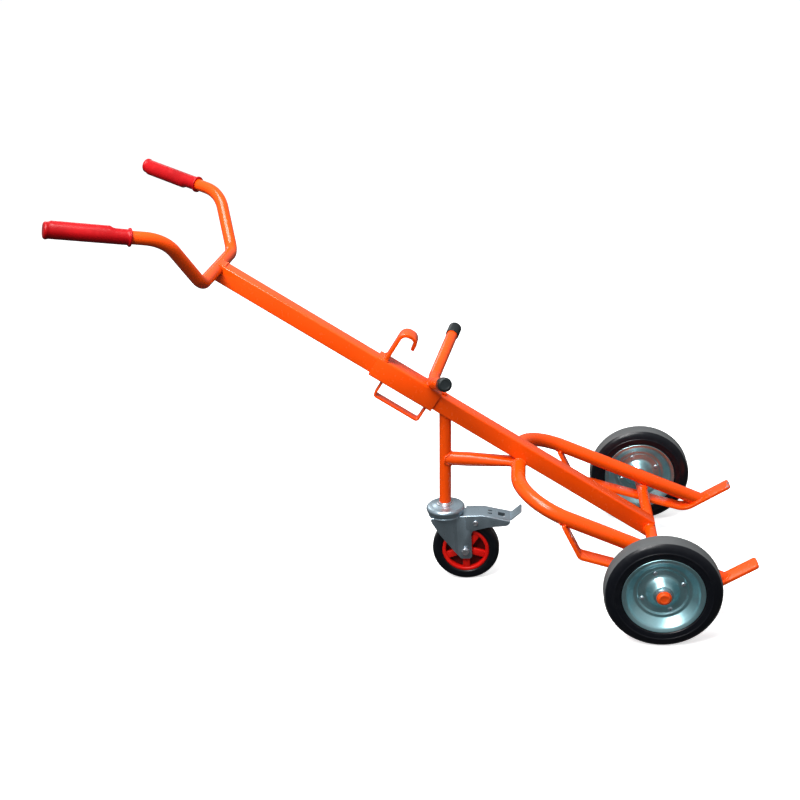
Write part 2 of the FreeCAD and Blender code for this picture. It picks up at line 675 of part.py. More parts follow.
# ---- carriage: strap handle under the sleeve, a flat strip bent to a U
strap_low = sleeve_low + strap_inset + strap_thickness / 2.0
strap_high = strap_low + strap_length - strap_thickness
strap_seat = -sleeve_half - weld_gap
strap_floor = -sleeve_half - strap_depth + strap_thickness / 2.0
strap_points = [on_spine(strap_low, strap_seat, 0), on_spine(strap_low, strap_floor, 0),
                on_spine(strap_high, strap_floor, 0), on_spine(strap_high, strap_seat, 0)]
parts["strap_handle"] = solid_of(bent_strip(strap_points, [strap_bend_radius, strap_bend_radius],
                                            strap_thickness, strap_width, 0))

# ---- castor: upper race under the post, balls, kingpin
post_x = -castor_setback
kingpin_radius = kingpin_diameter / 2.0
ball_radius = ball_diameter / 2.0
post_axis = V(post_x, 0, 0)
race_top = castor_height - weld_gap
ball_height = race_top - race_sheet - ball_radius - 3.0
groove_ceiling = ball_height + ball_radius + pressed_gap
race_profile = [(kingpin_radius + push_fit, race_top), (post_radius + 9, race_top),
                (race_radius - 4, race_top - 5), (race_radius, race_top - 9),
                (race_radius, race_top - 12), (race_radius - race_taper, race_top - race_depth),
                (race_radius - race_sheet - race_taper, race_top - race_depth),
                (race_radius - race_sheet, race_top - 12), (race_radius - race_sheet, groove_ceiling),
                (kingpin_radius + push_fit, groove_ceiling)]
parts["upper_race"] = turned(race_profile, post_axis, V(0, 0, 1))
balls = []
for i in range(ball_count):
    angle = 2 * math.pi * i / ball_count
    outwards = V(math.cos(angle), math.sin(angle), 0)
    balls.append(Part.makeSphere(ball_radius, V(post_x, 0, ball_height) + outwards * ball_circle_radius))
parts["swivel_balls"] = Part.makeCompound(balls)
race_floor = fork_top + pressed_gap
lower_profile = [(ball_circle_radius - 8, race_floor), (ball_circle_radius + 6, race_floor),
                 (ball_circle_radius + 6, ball_height - 0.5), (ball_circle_radius - 8, ball_height - 0.5)]
groove = Part.makeTorus(ball_circle_radius, ball_radius + pressed_gap, V(post_x, 0, ball_height), V(0, 0, 1))
parts["lower_race"] = solid_of(turned(lower_profile, post_axis, V(0, 0, 1)).cut(groove))
kingpin_head_top = fork_top - fork_sheet - side_play
kingpin = rod(V(post_x, 0, kingpin_head_top - 8), V(post_x, 0, kingpin_head_top), kingpin_head_radius)
kingpin = kingpin.fuse(rod(V(post_x, 0, kingpin_head_top), V(post_x, 0, castor_height + plug_height - 6),
                           kingpin_radius))
parts["kingpin"] = solid_of(kingpin)

# ---- castor: fork, pressed from sheet; it turns on the kingpin and its axle trails behind the post
wheel_x = post_x + castor_trail
wheel_radius = castor_wheel_diameter / 2.0
leg_outer = fork_half_gap + fork_sheet
crease_x = post_x + 26.0
fork_front_x = post_x - 34.0
fork_rear_x = wheel_x + 39.0
leg_front = [(fork_front_x, fork_top), (fork_front_x, fork_top - 9), (post_x - 15, fork_top - 45),
             (wheel_x - 15, wheel_radius - 15), (wheel_x - 11, wheel_radius - 20),
             (wheel_x + 11, wheel_radius - 20), (wheel_x + 15, wheel_radius - 16),
             (wheel_x + 16, fork_top - 45), (fork_rear_x - 6, fork_top - 28), (fork_rear_x, fork_top - 20),
             (fork_rear_x, fork_top - 9), (wheel_x + 16, fork_top)]
fork_legs = []
flare = 9.0
for side in (-1, 1):
    plan = [(fork_rear_x, fork_half_gap), (crease_x, fork_half_gap),
            (fork_front_x - 2, fork_half_gap + flare), (fork_front_x - 2, leg_outer + flare),
            (crease_x, leg_outer), (fork_rear_x, leg_outer)]
    leg = slab([(x, side * y) for x, y in plan], 0, fork_top)
    fork_legs.append(leg.common(plate(leg_front, -60, 60)))
top_plan = [(wheel_x + 16, leg_outer), (crease_x, leg_outer), (fork_front_x, leg_outer + flare),
            (fork_front_x, -leg_outer - flare), (crease_x, -leg_outer), (wheel_x + 16, -leg_outer)]
fork_plate = slab(top_plan, fork_top - fork_sheet, fork_top)
fork_disc = rod(V(post_x, 0, fork_top - fork_sheet), V(post_x, 0, fork_top), fork_disc_radius)
fork_plate = fork_plate.fuse(fork_disc)
fork_shape = fork_plate.fuse(fork_legs).removeSplitter()
kingpin_hole = rod(V(post_x, 0, fork_top - 10), V(post_x, 0, fork_top + 10), kingpin_radius + running_fit)
wheel_axis_low = V(wheel_x, -60, wheel_radius)
wheel_axis_high = V(wheel_x, 60, wheel_radius)
bolt_radius = castor_bolt_diameter / 2.0
bolt_hole = rod(wheel_axis_low, wheel_axis_high, bolt_radius + push_fit)
pivot = V(wheel_x + 28, 0, fork_top - 17)
pivot_radius = 4.0
pivot_hole = rod(pivot - V(0, 60, 0), pivot + V(0, 60, 0), pivot_radius + push_fit)
parts["castor_fork"] = solid_of(fork_shape.cut(kingpin_hole).cut(bolt_hole).cut(pivot_hole))

# ---- castor: axle bolt, lock nut and the steel bush clamped between the fork legs
head_height = 6.5


def hexagon(centre, across, height, direction):
    """A hexagon bolt head or nut standing on centre."""
    corner = across / math.sqrt(3.0)
    ring = []
    for i in range(6):
        angle = math.radians(60 * i + 30)
        ring.append(centre + V(corner * math.cos(angle), 0, corner * math.sin(angle)))
    return Part.Face(Part.makePolygon(ring + [ring[0]])).extrude(direction * height)


def at_wheel(y):
    return V(wheel_x, y, wheel_radius)


head_y = leg_outer + push_fit
bolt = rod(at_wheel(-head_y - head_height), at_wheel(leg_outer + 13), bolt_radius)
bolt = bolt.fuse(hexagon(at_wheel(-head_y), 17.0, head_height, V(0, -1, 0)))
parts["castor_bolt"] = solid_of(bolt)
nut = hexagon(at_wheel(head_y), 17.0, head_height + 2, V(0, 1, 0))
parts["castor_nut"] = solid_of(nut.cut(rod(at_wheel(0), at_wheel(60), bolt_radius + push_fit)))
bush_end = fork_half_gap - push_fit
parts["castor_bush"] = pipe(at_wheel(-bush_end), at_wheel(bush_end), castor_bush_diameter / 2.0,
                            bolt_radius + push_fit)

# ---- castor wheel: rubber tyre on a spoked nylon hub
hub_half = fork_half_gap - 2.0
castor_half = [(wheel_radius, castor_tread_half_width - 8), (wheel_radius - 2, castor_tread_half_width - 3),
               (wheel_radius - 7, castor_tread_half_width), (castor_rim_radius + 5, castor_tread_half_width),
               (castor_rim_radius + pressed_gap, castor_tread_half_width - 2)]
parts["castor_tyre"] = turned(mirrored_profile(castor_half), at_wheel(0), V(0, 1, 0))
rim_inner = castor_rim_radius - 8
rim_half = [(castor_rim_radius, castor_tread_half_width - 1),
            (castor_rim_radius - 2, castor_tread_half_width),
            (rim_inner, castor_tread_half_width)]
hub_rim = turned(mirrored_profile(rim_half), at_wheel(0), V(0, 1, 0))
boss_bore = castor_bush_diameter / 2.0 + running_fit
boss = pipe(at_wheel(-hub_half), at_wheel(hub_half), castor_boss_radius, boss_bore)
web = pipe(at_wheel(-2.5), at_wheel(2.5), rim_inner + 1, castor_boss_radius - 1)
castor_hub = hub_rim.fuse([boss, web])
for i in range(castor_spokes):
    angle = 360.0 / castor_spokes * i + 90
    spoke = box(wheel_x + castor_boss_radius - 2, wheel_x + rim_inner + 2, -16.0, 16.0,
                wheel_radius - castor_spoke_width / 2, wheel_radius + castor_spoke_width / 2)
    spoke.rotate(at_wheel(0), V(0, 1, 0), angle)
    castor_hub = castor_hub.fuse(spoke)
parts["castor_hub"] = solid_of(castor_hub.removeSplitter())

# ---- castor: brake pedal, an inverted channel on two rivets, with a shoe over the tyre
pedal_inner = leg_outer + turning_gap
pedal_outer = pedal_inner + pedal_sheet
pedal_rear_x = post_x + race_radius + pedal_behind_race
pedal_mid_x = post_x + pedal_bend_reach
pedal_end_x = post_x + pedal_reach
pedal_crown = fork_top + turning_gap + pedal_sheet
flange = [(pedal_rear_x, pedal_crown), (pedal_mid_x, pedal_crown), (pedal_end_x, pedal_crown - 16),
          (pedal_end_x, pedal_crown - 22), (pedal_end_x - 6, pedal_crown - 30),
          (pedal_mid_x + 12, pedal_crown - 33), (pedal_rear_x + 12, pedal_crown - 42),
          (pedal_rear_x, pedal_crown - 36)]
channel = plate(flange, -pedal_outer, pedal_outer)
channel = rounded(channel, 3.0, lambda e: e.BoundBox.ZMin > pedal_crown - 17 and e.BoundBox.YLength < 0.01
                  and e.Length > 50)
hollow = [(pedal_rear_x - 5, pedal_crown - pedal_sheet), (pedal_mid_x, pedal_crown - pedal_sheet),
          (pedal_end_x + 5, pedal_crown - 16 - pedal_sheet - 1.3), (pedal_end_x + 5, 60),
          (pedal_rear_x - 5, 60)]
channel = channel.cut(plate(hollow, -pedal_inner, pedal_inner))
tread_low = (pedal_end_x - 2, pedal_crown - 19.0)
tread_high = (pedal_end_x + 29, pedal_crown + 4.0)
tread_plate = plate([tread_low, tread_high, (tread_high[0] + 2.4, tread_high[1] - 2.2),
                     (tread_low[0] + 2.4, tread_low[1] - 3.4)], -21, 21)
tread_link = plate([(pedal_end_x - 14, pedal_crown - 12.4), (pedal_end_x + 0.5, pedal_crown - 16.4),
                    (pedal_end_x + 3, pedal_crown - 19.6), (pedal_end_x - 14, pedal_crown - 15.4)], -26, 26)
pedal_hole = rod(pivot - V(0, 60, 0), pivot + V(0, 60, 0), pivot_radius + running_fit)
slots = []
for i in range(2):
    slot_x = pedal_mid_x + 8 + i * 22
    slots.append(box(slot_x, slot_x + 12, -7, 7, pedal_crown - 40, pedal_crown + 10))
pedal = channel.fuse([tread_link, tread_plate]).cut(pedal_hole)
for slot in slots:
    pedal = pedal.cut(slot)
parts["brake_pedal"] = solid_of(pedal)
pins = []
for side in (-1, 1):
    start = pivot + V(0, side * (fork_half_gap - 0.8), 0)
    stop = pivot + V(0, side * (pedal_outer + 0.5), 0)
    pin = rod(start, stop, pivot_radius)
    head = Part.makeCone(6.5, 4.0, 2.4, stop, V(0, side, 0))
    pins.append(solid_of(pin.fuse(head)))
parts["pedal_rivets"] = Part.makeCompound(pins)

# The shoe stays clear of the tyre until the pedal is pressed right down.
shoe_block = plate([(pivot.x + 12, pedal_crown - pedal_sheet - weld_gap),
                    (pivot.x + 32, pedal_crown - pedal_sheet - weld_gap - 3.2),
                    (pivot.x + 38, wheel_radius + 40), (pivot.x + 12, wheel_radius + 40)], -14, 14)
tyre_clear = rod(at_wheel(-40), at_wheel(40), wheel_radius + side_play)
tyre_clear.rotate(pivot, V(0, 1, 0), -pedal_max_tilt)
under_pedal = plate([(pedal_rear_x - 5, pedal_crown - pedal_sheet - weld_gap),
                     (pedal_mid_x, pedal_crown - pedal_sheet - weld_gap),
                     (pedal_end_x + 5, pedal_crown - 17.3 - pedal_sheet - weld_gap), (pedal_end_x + 5, 0),
                     (pedal_rear_x - 5, 0)], -20, 20)
parts["brake_shoe"] = solid_of(shoe_block.common(under_pedal).cut(tyre_clear))

# ---- write one file per piece
os.makedirs("parts", exist_ok=True)
for name, shape in parts.items():
    shape.exportStep("parts/" + name + ".step")
    print(name, len(shape.Solids), round(shape.Volume / 1000.0, 1), "cm3", shape.isValid())
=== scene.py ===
import math

import bmesh
import bpy
from mathutils import Matrix, Vector


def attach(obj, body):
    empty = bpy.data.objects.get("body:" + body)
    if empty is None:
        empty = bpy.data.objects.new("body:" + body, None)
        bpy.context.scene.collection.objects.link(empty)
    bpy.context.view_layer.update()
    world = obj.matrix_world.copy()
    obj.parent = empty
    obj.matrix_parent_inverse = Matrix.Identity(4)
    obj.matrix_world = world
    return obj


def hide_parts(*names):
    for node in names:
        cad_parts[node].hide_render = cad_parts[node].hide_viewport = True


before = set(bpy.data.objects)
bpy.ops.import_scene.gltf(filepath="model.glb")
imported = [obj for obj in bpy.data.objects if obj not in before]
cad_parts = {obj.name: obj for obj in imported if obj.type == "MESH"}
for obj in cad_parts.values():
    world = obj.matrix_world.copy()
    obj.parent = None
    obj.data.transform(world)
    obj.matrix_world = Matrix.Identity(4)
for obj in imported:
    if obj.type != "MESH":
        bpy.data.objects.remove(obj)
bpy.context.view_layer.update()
scene = bpy.context.scene
mm = 0.001

# ---------------------------------------------------------------------------------------------
# Camera: it stands off the truck's right side, above the handlebar, and looks down a little
# towards the carriage, so that both main wheels, the castor and the hook are in view.
camera_data = bpy.data.cameras.new("camera")
camera_data.sensor_width = 36.0
camera_data.lens = 54.22
camera_data.clip_end = 200.0
heading, look_down, lean = -0.1274, 0.3662, -0.0797
gaze = Vector((math.sin(heading) * math.cos(look_down), math.cos(heading) * math.cos(look_down),
               -math.sin(look_down)))
level = Vector((math.cos(heading), -math.sin(heading), 0.0))
above = level.cross(gaze)
rightward = level * math.cos(lean) + above * math.sin(lean)
upward = above * math.cos(lean) - level * math.sin(lean)
camera = bpy.data.objects.new("camera", camera_data)
camera_place = Vector((-0.2364, -2.5782, 1.4606))
camera.matrix_world = Matrix.Translation(camera_place) @ Matrix(
    (rightward, upward, -gaze)).transposed().to_4x4()
scene.collection.objects.link(camera)
scene.camera = camera

# ---------------------------------------------------------------------------------------------
# Studio: a wide pale floor and backdrop, one wide soft light overhead, a smaller one from the front
# and a faint one from behind. The room, darker towards the floor, fills the shadows.
scene.view_settings.view_transform = "Standard"
floor_mesh = bmesh.new()
bmesh.ops.create_grid(floor_mesh, x_segments=1, y_segments=1, size=60.0)
floor_data = bpy.data.meshes.new("studio_floor")
floor_mesh.to_mesh(floor_data)
floor_mesh.free()
floor_paint = bpy.data.materials.new("studio_floor")
floor_paint.use_nodes = True
floor_shader = floor_paint.node_tree.nodes["Principled BSDF"]
floor_shader.inputs["Base Color"].default_value = (0.93, 0.93, 0.93, 1.0)
floor_shader.inputs["Roughness"].default_value = 0.9
floor_shader.inputs["Specular IOR Level"].default_value = 0.1
floor_shader.inputs["Emission Color"].default_value = (1.0, 1.0, 1.0, 1.0)
floor_shader.inputs["Emission Strength"].default_value = 0.60
floor_data.materials.append(floor_paint)
floor = bpy.data.objects.new("studio_floor", floor_data)
floor.visible_diffuse = False
floor.visible_glossy = False
scene.collection.objects.link(floor)

room = bpy.data.worlds.new("studio_room")
room.use_nodes = True
room_light = room.node_tree.nodes["Background"]
facing = room.node_tree.nodes.new("ShaderNodeTexCoord")
height = room.node_tree.nodes.new("ShaderNodeSeparateXYZ")
shade = room.node_tree.nodes.new("ShaderNodeMapRange")
shade.inputs["From Min"].default_value = -0.30
shade.inputs["From Max"].default_value = 0.60
shade.inputs["To Min"].default_value = 0.07
shade.inputs["To Max"].default_value = 0.50
room.node_tree.links.new(facing.outputs["Generated"], height.inputs["Vector"])
room.node_tree.links.new(height.outputs["Z"], shade.inputs["Value"])
room.node_tree.links.new(shade.outputs["Result"], room_light.inputs["Strength"])
room_light.inputs["Color"].default_value = (0.96, 0.98, 1.0, 1.0)
backdrop = room.node_tree.nodes.new("ShaderNodeBackground")
backdrop.inputs["Color"].default_value = (1.0, 1.0, 1.0, 1.0)
seen = room.node_tree.nodes.new("ShaderNodeLightPath")
either = room.node_tree.nodes.new("ShaderNodeMixShader")
room.node_tree.links.new(seen.outputs["Is Camera Ray"], either.inputs["Fac"])
room.node_tree.links.new(room_light.outputs["Background"], either.inputs[1])
room.node_tree.links.new(backdrop.outputs["Background"], either.inputs[2])
room.node_tree.links.new(either.outputs["Shader"],
                         room.node_tree.nodes["World Output"].inputs["Surface"])
scene.world = room

lamps = (
    ("overhead", (-0.9, -0.9, 3.4), (-0.45, 0.0, 0.4), (2.0, 1.5), 125.0),
    ("front", (-1.7, -3.0, 3.9), (-0.4, 0.0, 0.4), (1.3, 1.1), 125.0),
    ("back", (-2.6, 3.2, 2.6), (-0.4, 0.0, 0.5), (2.0, 1.4), 20.0),
)
for name, place, target, size, power in lamps:
    lamp_data = bpy.data.lights.new(name, "AREA")
    lamp_data.shape = "RECTANGLE"
    lamp_data.size, lamp_data.size_y = size
    lamp_data.energy = power
    lamp = bpy.data.objects.new(name, lamp_data)
    lamp.location = place
    lamp.rotation_mode = "QUATERNION"
    lamp.rotation_quaternion = (Vector(place) - Vector(target)).to_track_quat("Z", "Y")
    scene.collection.objects.link(lamp)


# ---------------------------------------------------------------------------------------------
# Spine: a drawn square tube, the backbone that every other piece of the frame is welded to.
# It slopes up from the axle to the handlebar; both ends are open and sit round a cross tube.
class Wire:
    """A value in a finish; sums and products of it add their own Math nodes."""

    def __init__(self, finish, socket):
        self.finish = finish
        self.socket = socket

    def maths(self, operation, first, second=0.0):
        return self.finish.node("ShaderNodeMath", {"operation": operation}, {0: first, 1: second})

    def __add__(self, other):
        return self.maths("ADD", self, other)

    def __sub__(self, other):
        return self.maths("SUBTRACT", self, other)

    def __rsub__(self, other):
        return self.maths("SUBTRACT", other, self)

    def __mul__(self, other):
        return self.maths("MULTIPLY", self, other)

    def __pow__(self, other):
        return self.maths("POWER", self, other)

    __radd__ = __add__
    __rmul__ = __mul__


class Finish:
    """A finish being mixed: one method adds any node, the others are the steps used most."""

    def __init__(self, name):
        self.material = bpy.data.materials.new(name)
        self.material.use_nodes = True
        self.tree = self.material.node_tree
        self.tree.nodes.clear()
        self.place = self.node("ShaderNodeTexCoord", out="Object")

    def node(self, kind, settings=None, sockets=None, out=0):
        made = self.tree.nodes.new(kind)
        for name, value in (settings or {}).items():
            setattr(made, name, value)
        for name, value in (sockets or {}).items():
            if isinstance(value, Wire):
                self.tree.links.new(value.socket, made.inputs[name])
            else:
                made.inputs[name].default_value = value
        return Wire(self, made.outputs[out])

    def noise(self, scale, detail=2.0, stretch=None):
        place = self.place
        if stretch:
            place = self.node("ShaderNodeMapping", None, {"Vector": place, "Scale": stretch})
        return self.node("ShaderNodeTexNoise", None, {"Vector": place, "Scale": scale, "Detail": detail})

    def step(self, value, low, high, to_low=0.0, to_high=1.0):
        """Eases a value from one range to another and holds it at the ends."""
        return self.node("ShaderNodeMapRange", {"interpolation_type": "SMOOTHSTEP"},
                         {"Value": value, "From Min": low, "From Max": high,
                          "To Min": to_low, "To Max": to_high})

    def mix(self, share, first, second):
        """Colour between two colours."""
        return self.node("ShaderNodeMix", {"data_type": "RGBA"}, {0: share, 6: first, 7: second}, out=2)

    def bump(self, height, depth, strength=1.0, under=None):
        sockets = {"Height": height, "Distance": depth, "Strength": strength}
        if under:
            sockets["Normal"] = under
        return self.node("ShaderNodeBump", None, sockets)

    def along(self, axis):
        """Distance along one of the truck's own axes."""
        return self.node("ShaderNodeSeparateXYZ", None, {"Vector": self.place}, out=axis)

    def from_axle(self, x, z):
        """Distance from a cross axle at x, z."""
        level = self.along("X") - x
        upright = self.along("Z") - z
        return (level * level + upright * upright) ** 0.5

    def surface(self, sockets):
        """Closes the finish with its shader and hands the material over."""
        shader = self.node("ShaderNodeBsdfPrincipled", None, sockets)
        output = self.tree.nodes.new("ShaderNodeOutputMaterial")
        self.tree.links.new(shader.socket, output.inputs["Surface"])
        return self.material


def powder_coat(name, worn=None):
    """Baked orange powder paint: glossy, with a fine orange peel; worn bares a little steel."""
    finish = Finish(name)
    cloud = finish.noise(7.0)
    peel = finish.noise(620.0, 1.0)
    dust = finish.noise(95.0, 4.0)
    colour = finish.mix(cloud, (0.92, 0.068, 0.001, 1.0), (1.0, 0.092, 0.002, 1.0))
    colour = finish.mix(finish.step(dust, 0.60, 0.80, 0.0, 0.15), colour, (0.85, 0.13, 0.015, 1.0))
    rough = 0.20 + cloud * 0.08 + finish.step(dust, 0.55, 0.75) * 0.10
    sockets = {"Specular IOR Level": 0.30, "Coat Roughness": 0.06, "Coat IOR": 1.4, "Coat Weight": 0.3}
    if worn is None:
        sockets["Metallic"] = 0.0
    else:
        bare = worn(finish)
        colour = finish.mix(bare, colour, (0.30, 0.28, 0.27, 1.0))
        rough = rough + bare * 0.15
        sockets["Metallic"] = bare * 0.85
        sockets["Coat Weight"] = 0.3 - bare * 0.3
    sockets["Base Color"] = colour
    sockets["Roughness"] = rough
    sockets["Normal"] = finish.bump(peel, 0.00025, 0.35, finish.bump(finish.noise(28.0), 0.0006, 0.12))
    return finish.surface(sockets)


orange_paint = powder_coat("orange_powder_coat")

axle_height = 125.0
axle_centre = Vector((0.0, 0.0, axle_height * mm))
spine_slope = math.radians(35.0)
up_spine = Vector((-math.cos(spine_slope), 0.0, math.sin(spine_slope)))
off_spine = Vector((math.sin(spine_slope), 0.0, math.cos(spine_slope)))


def on_spine(along, lift, side):
    """A point given in millimetres along the spine from the axle, square to it, and across."""
    return axle_centre + (up_spine * along + off_spine * lift + Vector((0.0, side, 0.0))) * mm


def push_out(bm, ring, step):
    """Draws a ring of edges out by one straight step and gives the new ring."""
    made = bmesh.ops.extrude_edge_only(bm, edges=ring)["geom"]
    corners = {g for g in made if isinstance(g, bmesh.types.BMVert)}
    bmesh.ops.translate(bm, verts=list(corners), vec=step)
    return [g for g in made if isinstance(g, bmesh.types.BMEdge) and all(v in corners for v in g.verts)]


def soften(bm, width, rounds=2, over=30.0, wanted=None):
    """Rounds every edge that is sharper than an angle."""
    edges = [e for e in bm.edges if len(e.link_faces) == 2
             and e.calc_face_angle(0.0) > math.radians(over) and (wanted is None or wanted(e))]
    bmesh.ops.bevel(bm, geom=edges, offset=width * mm, offset_type="OFFSET", segments=rounds,
                    profile=0.5, affect="EDGES", clamp_overlap=True, material=-1)


def make_piece(name, bm, body, finish, stands_for=(), sharp=32.0):
    """Turns a finished mesh into a piece that rides on a body of the truck."""
    bmesh.ops.remove_doubles(bm, verts=bm.verts, dist=0.0013 * mm)
    bmesh.ops.recalc_face_normals(bm, faces=bm.faces)
    mesh = bpy.data.meshes.new(name)
    bm.to_mesh(mesh)
    bm.free()
    mesh.shade_smooth()
    mesh.set_sharp_from_angle(angle=math.radians(sharp))
    mesh.materials.append(finish)
    piece = bpy.data.objects.new(name, mesh)
    scene.collection.objects.link(piece)
    if stands_for:
        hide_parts(*stands_for)
    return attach(piece, body)


def dress(finish, *nodes):
    """Gives CAD pieces that keep their own shape a finish."""
    for node in nodes:
        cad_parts[node].data.materials.clear()
        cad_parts[node].data.materials.append(finish)


def each_once(parts):
    """Parts of a mesh in the order they are met, with no repeats, so that every run is alike."""
    return list(dict.fromkeys(parts))


def square_ring(bm, place, heading, across, width, height):
    """Four edges round a rectangle that stands square to heading, its width along across."""
    rise = heading.cross(across)
    turn = Matrix((across, rise, heading)).transposed().to_4x4()
    made = bmesh.ops.create_circle(bm, cap_ends=False, radius=math.sqrt(0.5), segments=4,
                                   matrix=Matrix.Rotation(math.pi / 4, 4, "Z"))["verts"]
    bmesh.ops.scale(bm, verts=made, vec=(width, height, 1.0))
    bmesh.ops.transform(bm, matrix=Matrix.Translation(place) @ turn, verts=made)
    return each_once(e for v in made for e in v.link_edges)


def runs_up_spine(edge):
    """Whether an edge lies along the spine."""
    return abs((edge.verts[0].co - edge.verts[1].co).normalized().dot(up_spine)) > 0.9


def square_tube(name, size, corner, wall, start, stop, stands_for, body):
    """A square tube along the spine, its long corners rounded and both ends open to look into."""
    hollow = 70.0
    bm = bmesh.new()
    first = square_ring(bm, on_spine(start, 0, 0), up_spine, Vector((0, 1, 0)), size * mm, size * mm)
    push_out(bm, first, up_spine * (stop - start) * mm)
    bmesh.ops.holes_fill(bm, edges=bm.edges, sides=0)
    soften(bm, corner, 4, wanted=runs_up_spine)
    bmesh.ops.recalc_face_normals(bm, faces=bm.faces)
    ends = [f for f in bm.faces if abs(f.normal.dot(up_spine)) > 0.99]
    for end in ends:
        inwards = -end.normal.copy()
        bmesh.ops.inset_region(bm, faces=[end], thickness=wall * mm, use_even_offset=True)
        made = bmesh.ops.extrude_discrete_faces(bm, faces=[end])["faces"]
        bmesh.ops.translate(bm, verts=made[0].verts, vec=inwards * hollow * mm)
    soften(bm, 0.5, 2, over=60.0)
    return make_piece(name, bm, body, orange_paint, stands_for)


spine_size, handle_reach = 40.0, 1168.0
square_tube("spine", spine_size, 3.0, 3.0, 0.0, handle_reach, ("spine_tube",), "frame")

# ---------------------------------------------------------------------------------------------
# Axle tube: a round tube across the foot of the spine. The solid axle runs through it, and the
# spacer rings and washers that keep the wheels apart from it are plain turned steel.
def round_ring(bm, place, heading, radius, sides=40):
    """A round ring of edges standing square to heading."""
    turn = heading.to_track_quat("Z", "Y").to_matrix().to_4x4()
    made = bmesh.ops.create_circle(bm, cap_ends=False, radius=radius * mm, segments=sides,
                                   matrix=Matrix.Translation(place) @ turn)["verts"]
    return each_once(e for v in made for e in v.link_edges)


def straight_tube(name, start, stop, radius, wall, body, stands_for):
    """A round tube with open ends and eased rims."""
    bm = bmesh.new()
    push_out(bm, round_ring(bm, start, stop - start, radius), stop - start)
    bmesh.ops.holes_fill(bm, edges=bm.edges, sides=0)
    bmesh.ops.recalc_face_normals(bm, faces=bm.faces)
    for end in [f for f in bm.faces if len(f.verts) > 4]:
        inwards = -end.normal.copy()
        bmesh.ops.inset_region(bm, faces=[end], thickness=wall * mm, use_even_offset=True)
        made = bmesh.ops.extrude_discrete_faces(bm, faces=[end])["faces"]
        bmesh.ops.translate(bm, verts=made[0].verts, vec=inwards * 30 * mm)
    soften(bm, 0.5, 2, over=60.0)
    return make_piece(name, bm, body, orange_paint, stands_for)


axle_tube_radius, axle_tube_half = 13.45, 264.0
across = Vector((0.0, 1.0, 0.0))
straight_tube("axle_sleeve_tube", axle_centre - across * axle_tube_half * mm,
              axle_centre + across * axle_tube_half * mm, axle_tube_radius, 3.4, "frame", ("axle_tube",))


def zinc_plate(name, dark, light, rough, grain=260.0):
    """Bright zinc plating over pressed or turned steel, a little blue, with a fine spangle."""
    finish = Finish(name)
    cloud = finish.noise(16.0, 3.0)
    spangle = finish.noise(grain, 3.0)
    drawn = finish.noise(70.0, 4.0, (1.0, 1.0, 0.12))
    colour = finish.mix(finish.step(cloud, 0.3, 0.7), dark, light)
    colour = finish.mix(finish.step(finish.noise(9.0), 0.52, 0.72, 0.0, 0.35), colour,
                        (light[0] * 0.86, light[1] * 0.95, light[2] * 1.05, 1.0))
    return finish.surface({
        "Base Color": colour, "Metallic": 0.92,
        "Roughness": rough + spangle * 0.10 + finish.step(drawn, 0.4, 0.7) * 0.07,
        "Normal": finish.bump(spangle, 0.0002, 0.25, finish.bump(drawn, 0.0003, 0.10))})


plain_steel = zinc_plate("plain_steel", (0.46, 0.47, 0.49, 1.0), (0.60, 0.61, 0.62, 1.0), 0.30)
dress(plain_steel, "axle_shaft", "hub_spacers", "thrust_washers")


# ---------------------------------------------------------------------------------------------
# Bow: one round tube bent to a U. Its arms lie on the axle tube and run down onto the toes; its
# closed end is saddled under the spine.
def draw_out(bm, ring, points, bends, fine=4.0):
    """Draws a ring along a line of corners: straight runs are pushed out and bends are spun."""
    here = points[0]
    for before, corner, after, bend in zip(points, points[1:], points[2:], bends):
        back = (before - corner).normalized()
        onward = (after - corner).normalized()
        turn = math.pi - back.angle(onward)
        reach = bend * mm * math.tan(turn / 2)
        ring = push_out(bm, ring, corner + back * reach - here)
        middle = corner + (back + onward).normalized() * bend * mm / math.cos(turn / 2)
        corners = each_once(v for e in ring for v in e.verts)
        made = bmesh.ops.spin(bm, geom=corners + ring, cent=middle, dvec=(0, 0, 0), angle=turn,
                              axis=(-back).cross(onward).normalized(),
                              steps=max(3, round(math.degrees(turn) / fine)),
                              use_merge=False, use_duplicate=False)["geom_last"]
        ring = [g for g in made if isinstance(g, bmesh.types.BMEdge)]
        here = corner + onward * reach
    return push_out(bm, ring, points[-1] - here)


def cut_off(bm, spot, normal):
    """Saws everything off beyond a plane and closes the cut."""
    parts = list(bm.verts) + list(bm.edges) + list(bm.faces)
    bmesh.ops.bisect_plane(bm, geom=parts, dist=1e-7, plane_co=spot, plane_no=normal, clear_outer=True)
    bmesh.ops.holes_fill(bm, edges=bm.edges, sides=0)


bow_radius, bow_half_width, bow_slope = 16.85, 200.0, math.radians(25.0)
bow_bend, bow_notch = 118.0, 6.8
bow_rise = math.tan(bow_slope)
bow_over_axle = axle_height + (bow_radius + axle_tube_radius + 0.1) / math.cos(bow_slope)
bow_drop = (spine_size / 2 + bow_radius - bow_notch) / math.cos(spine_slope)
bow_x = -(bow_over_axle - axle_height + bow_drop) / (math.tan(spine_slope) - bow_rise)
bow_z = bow_over_axle - bow_x * bow_rise

bar_thickness, bar_width = 8.0, 40.0
foot_slope, toe_slope = math.radians(18.0), math.radians(29.5)
toe_bend_x, toe_tip_x = 104.0, 213.0
foot_over_axle = axle_height - (axle_tube_radius + bar_thickness / 2 + 0.1) / math.cos(foot_slope)
toe_bend = Vector((toe_bend_x, 0.0, foot_over_axle - toe_bend_x * math.tan(foot_slope)))
toe_up = Vector((-math.sin(toe_slope), 0.0, math.cos(toe_slope)))
foot_up = Vector((math.sin(foot_slope), 0.0, math.cos(foot_slope)))

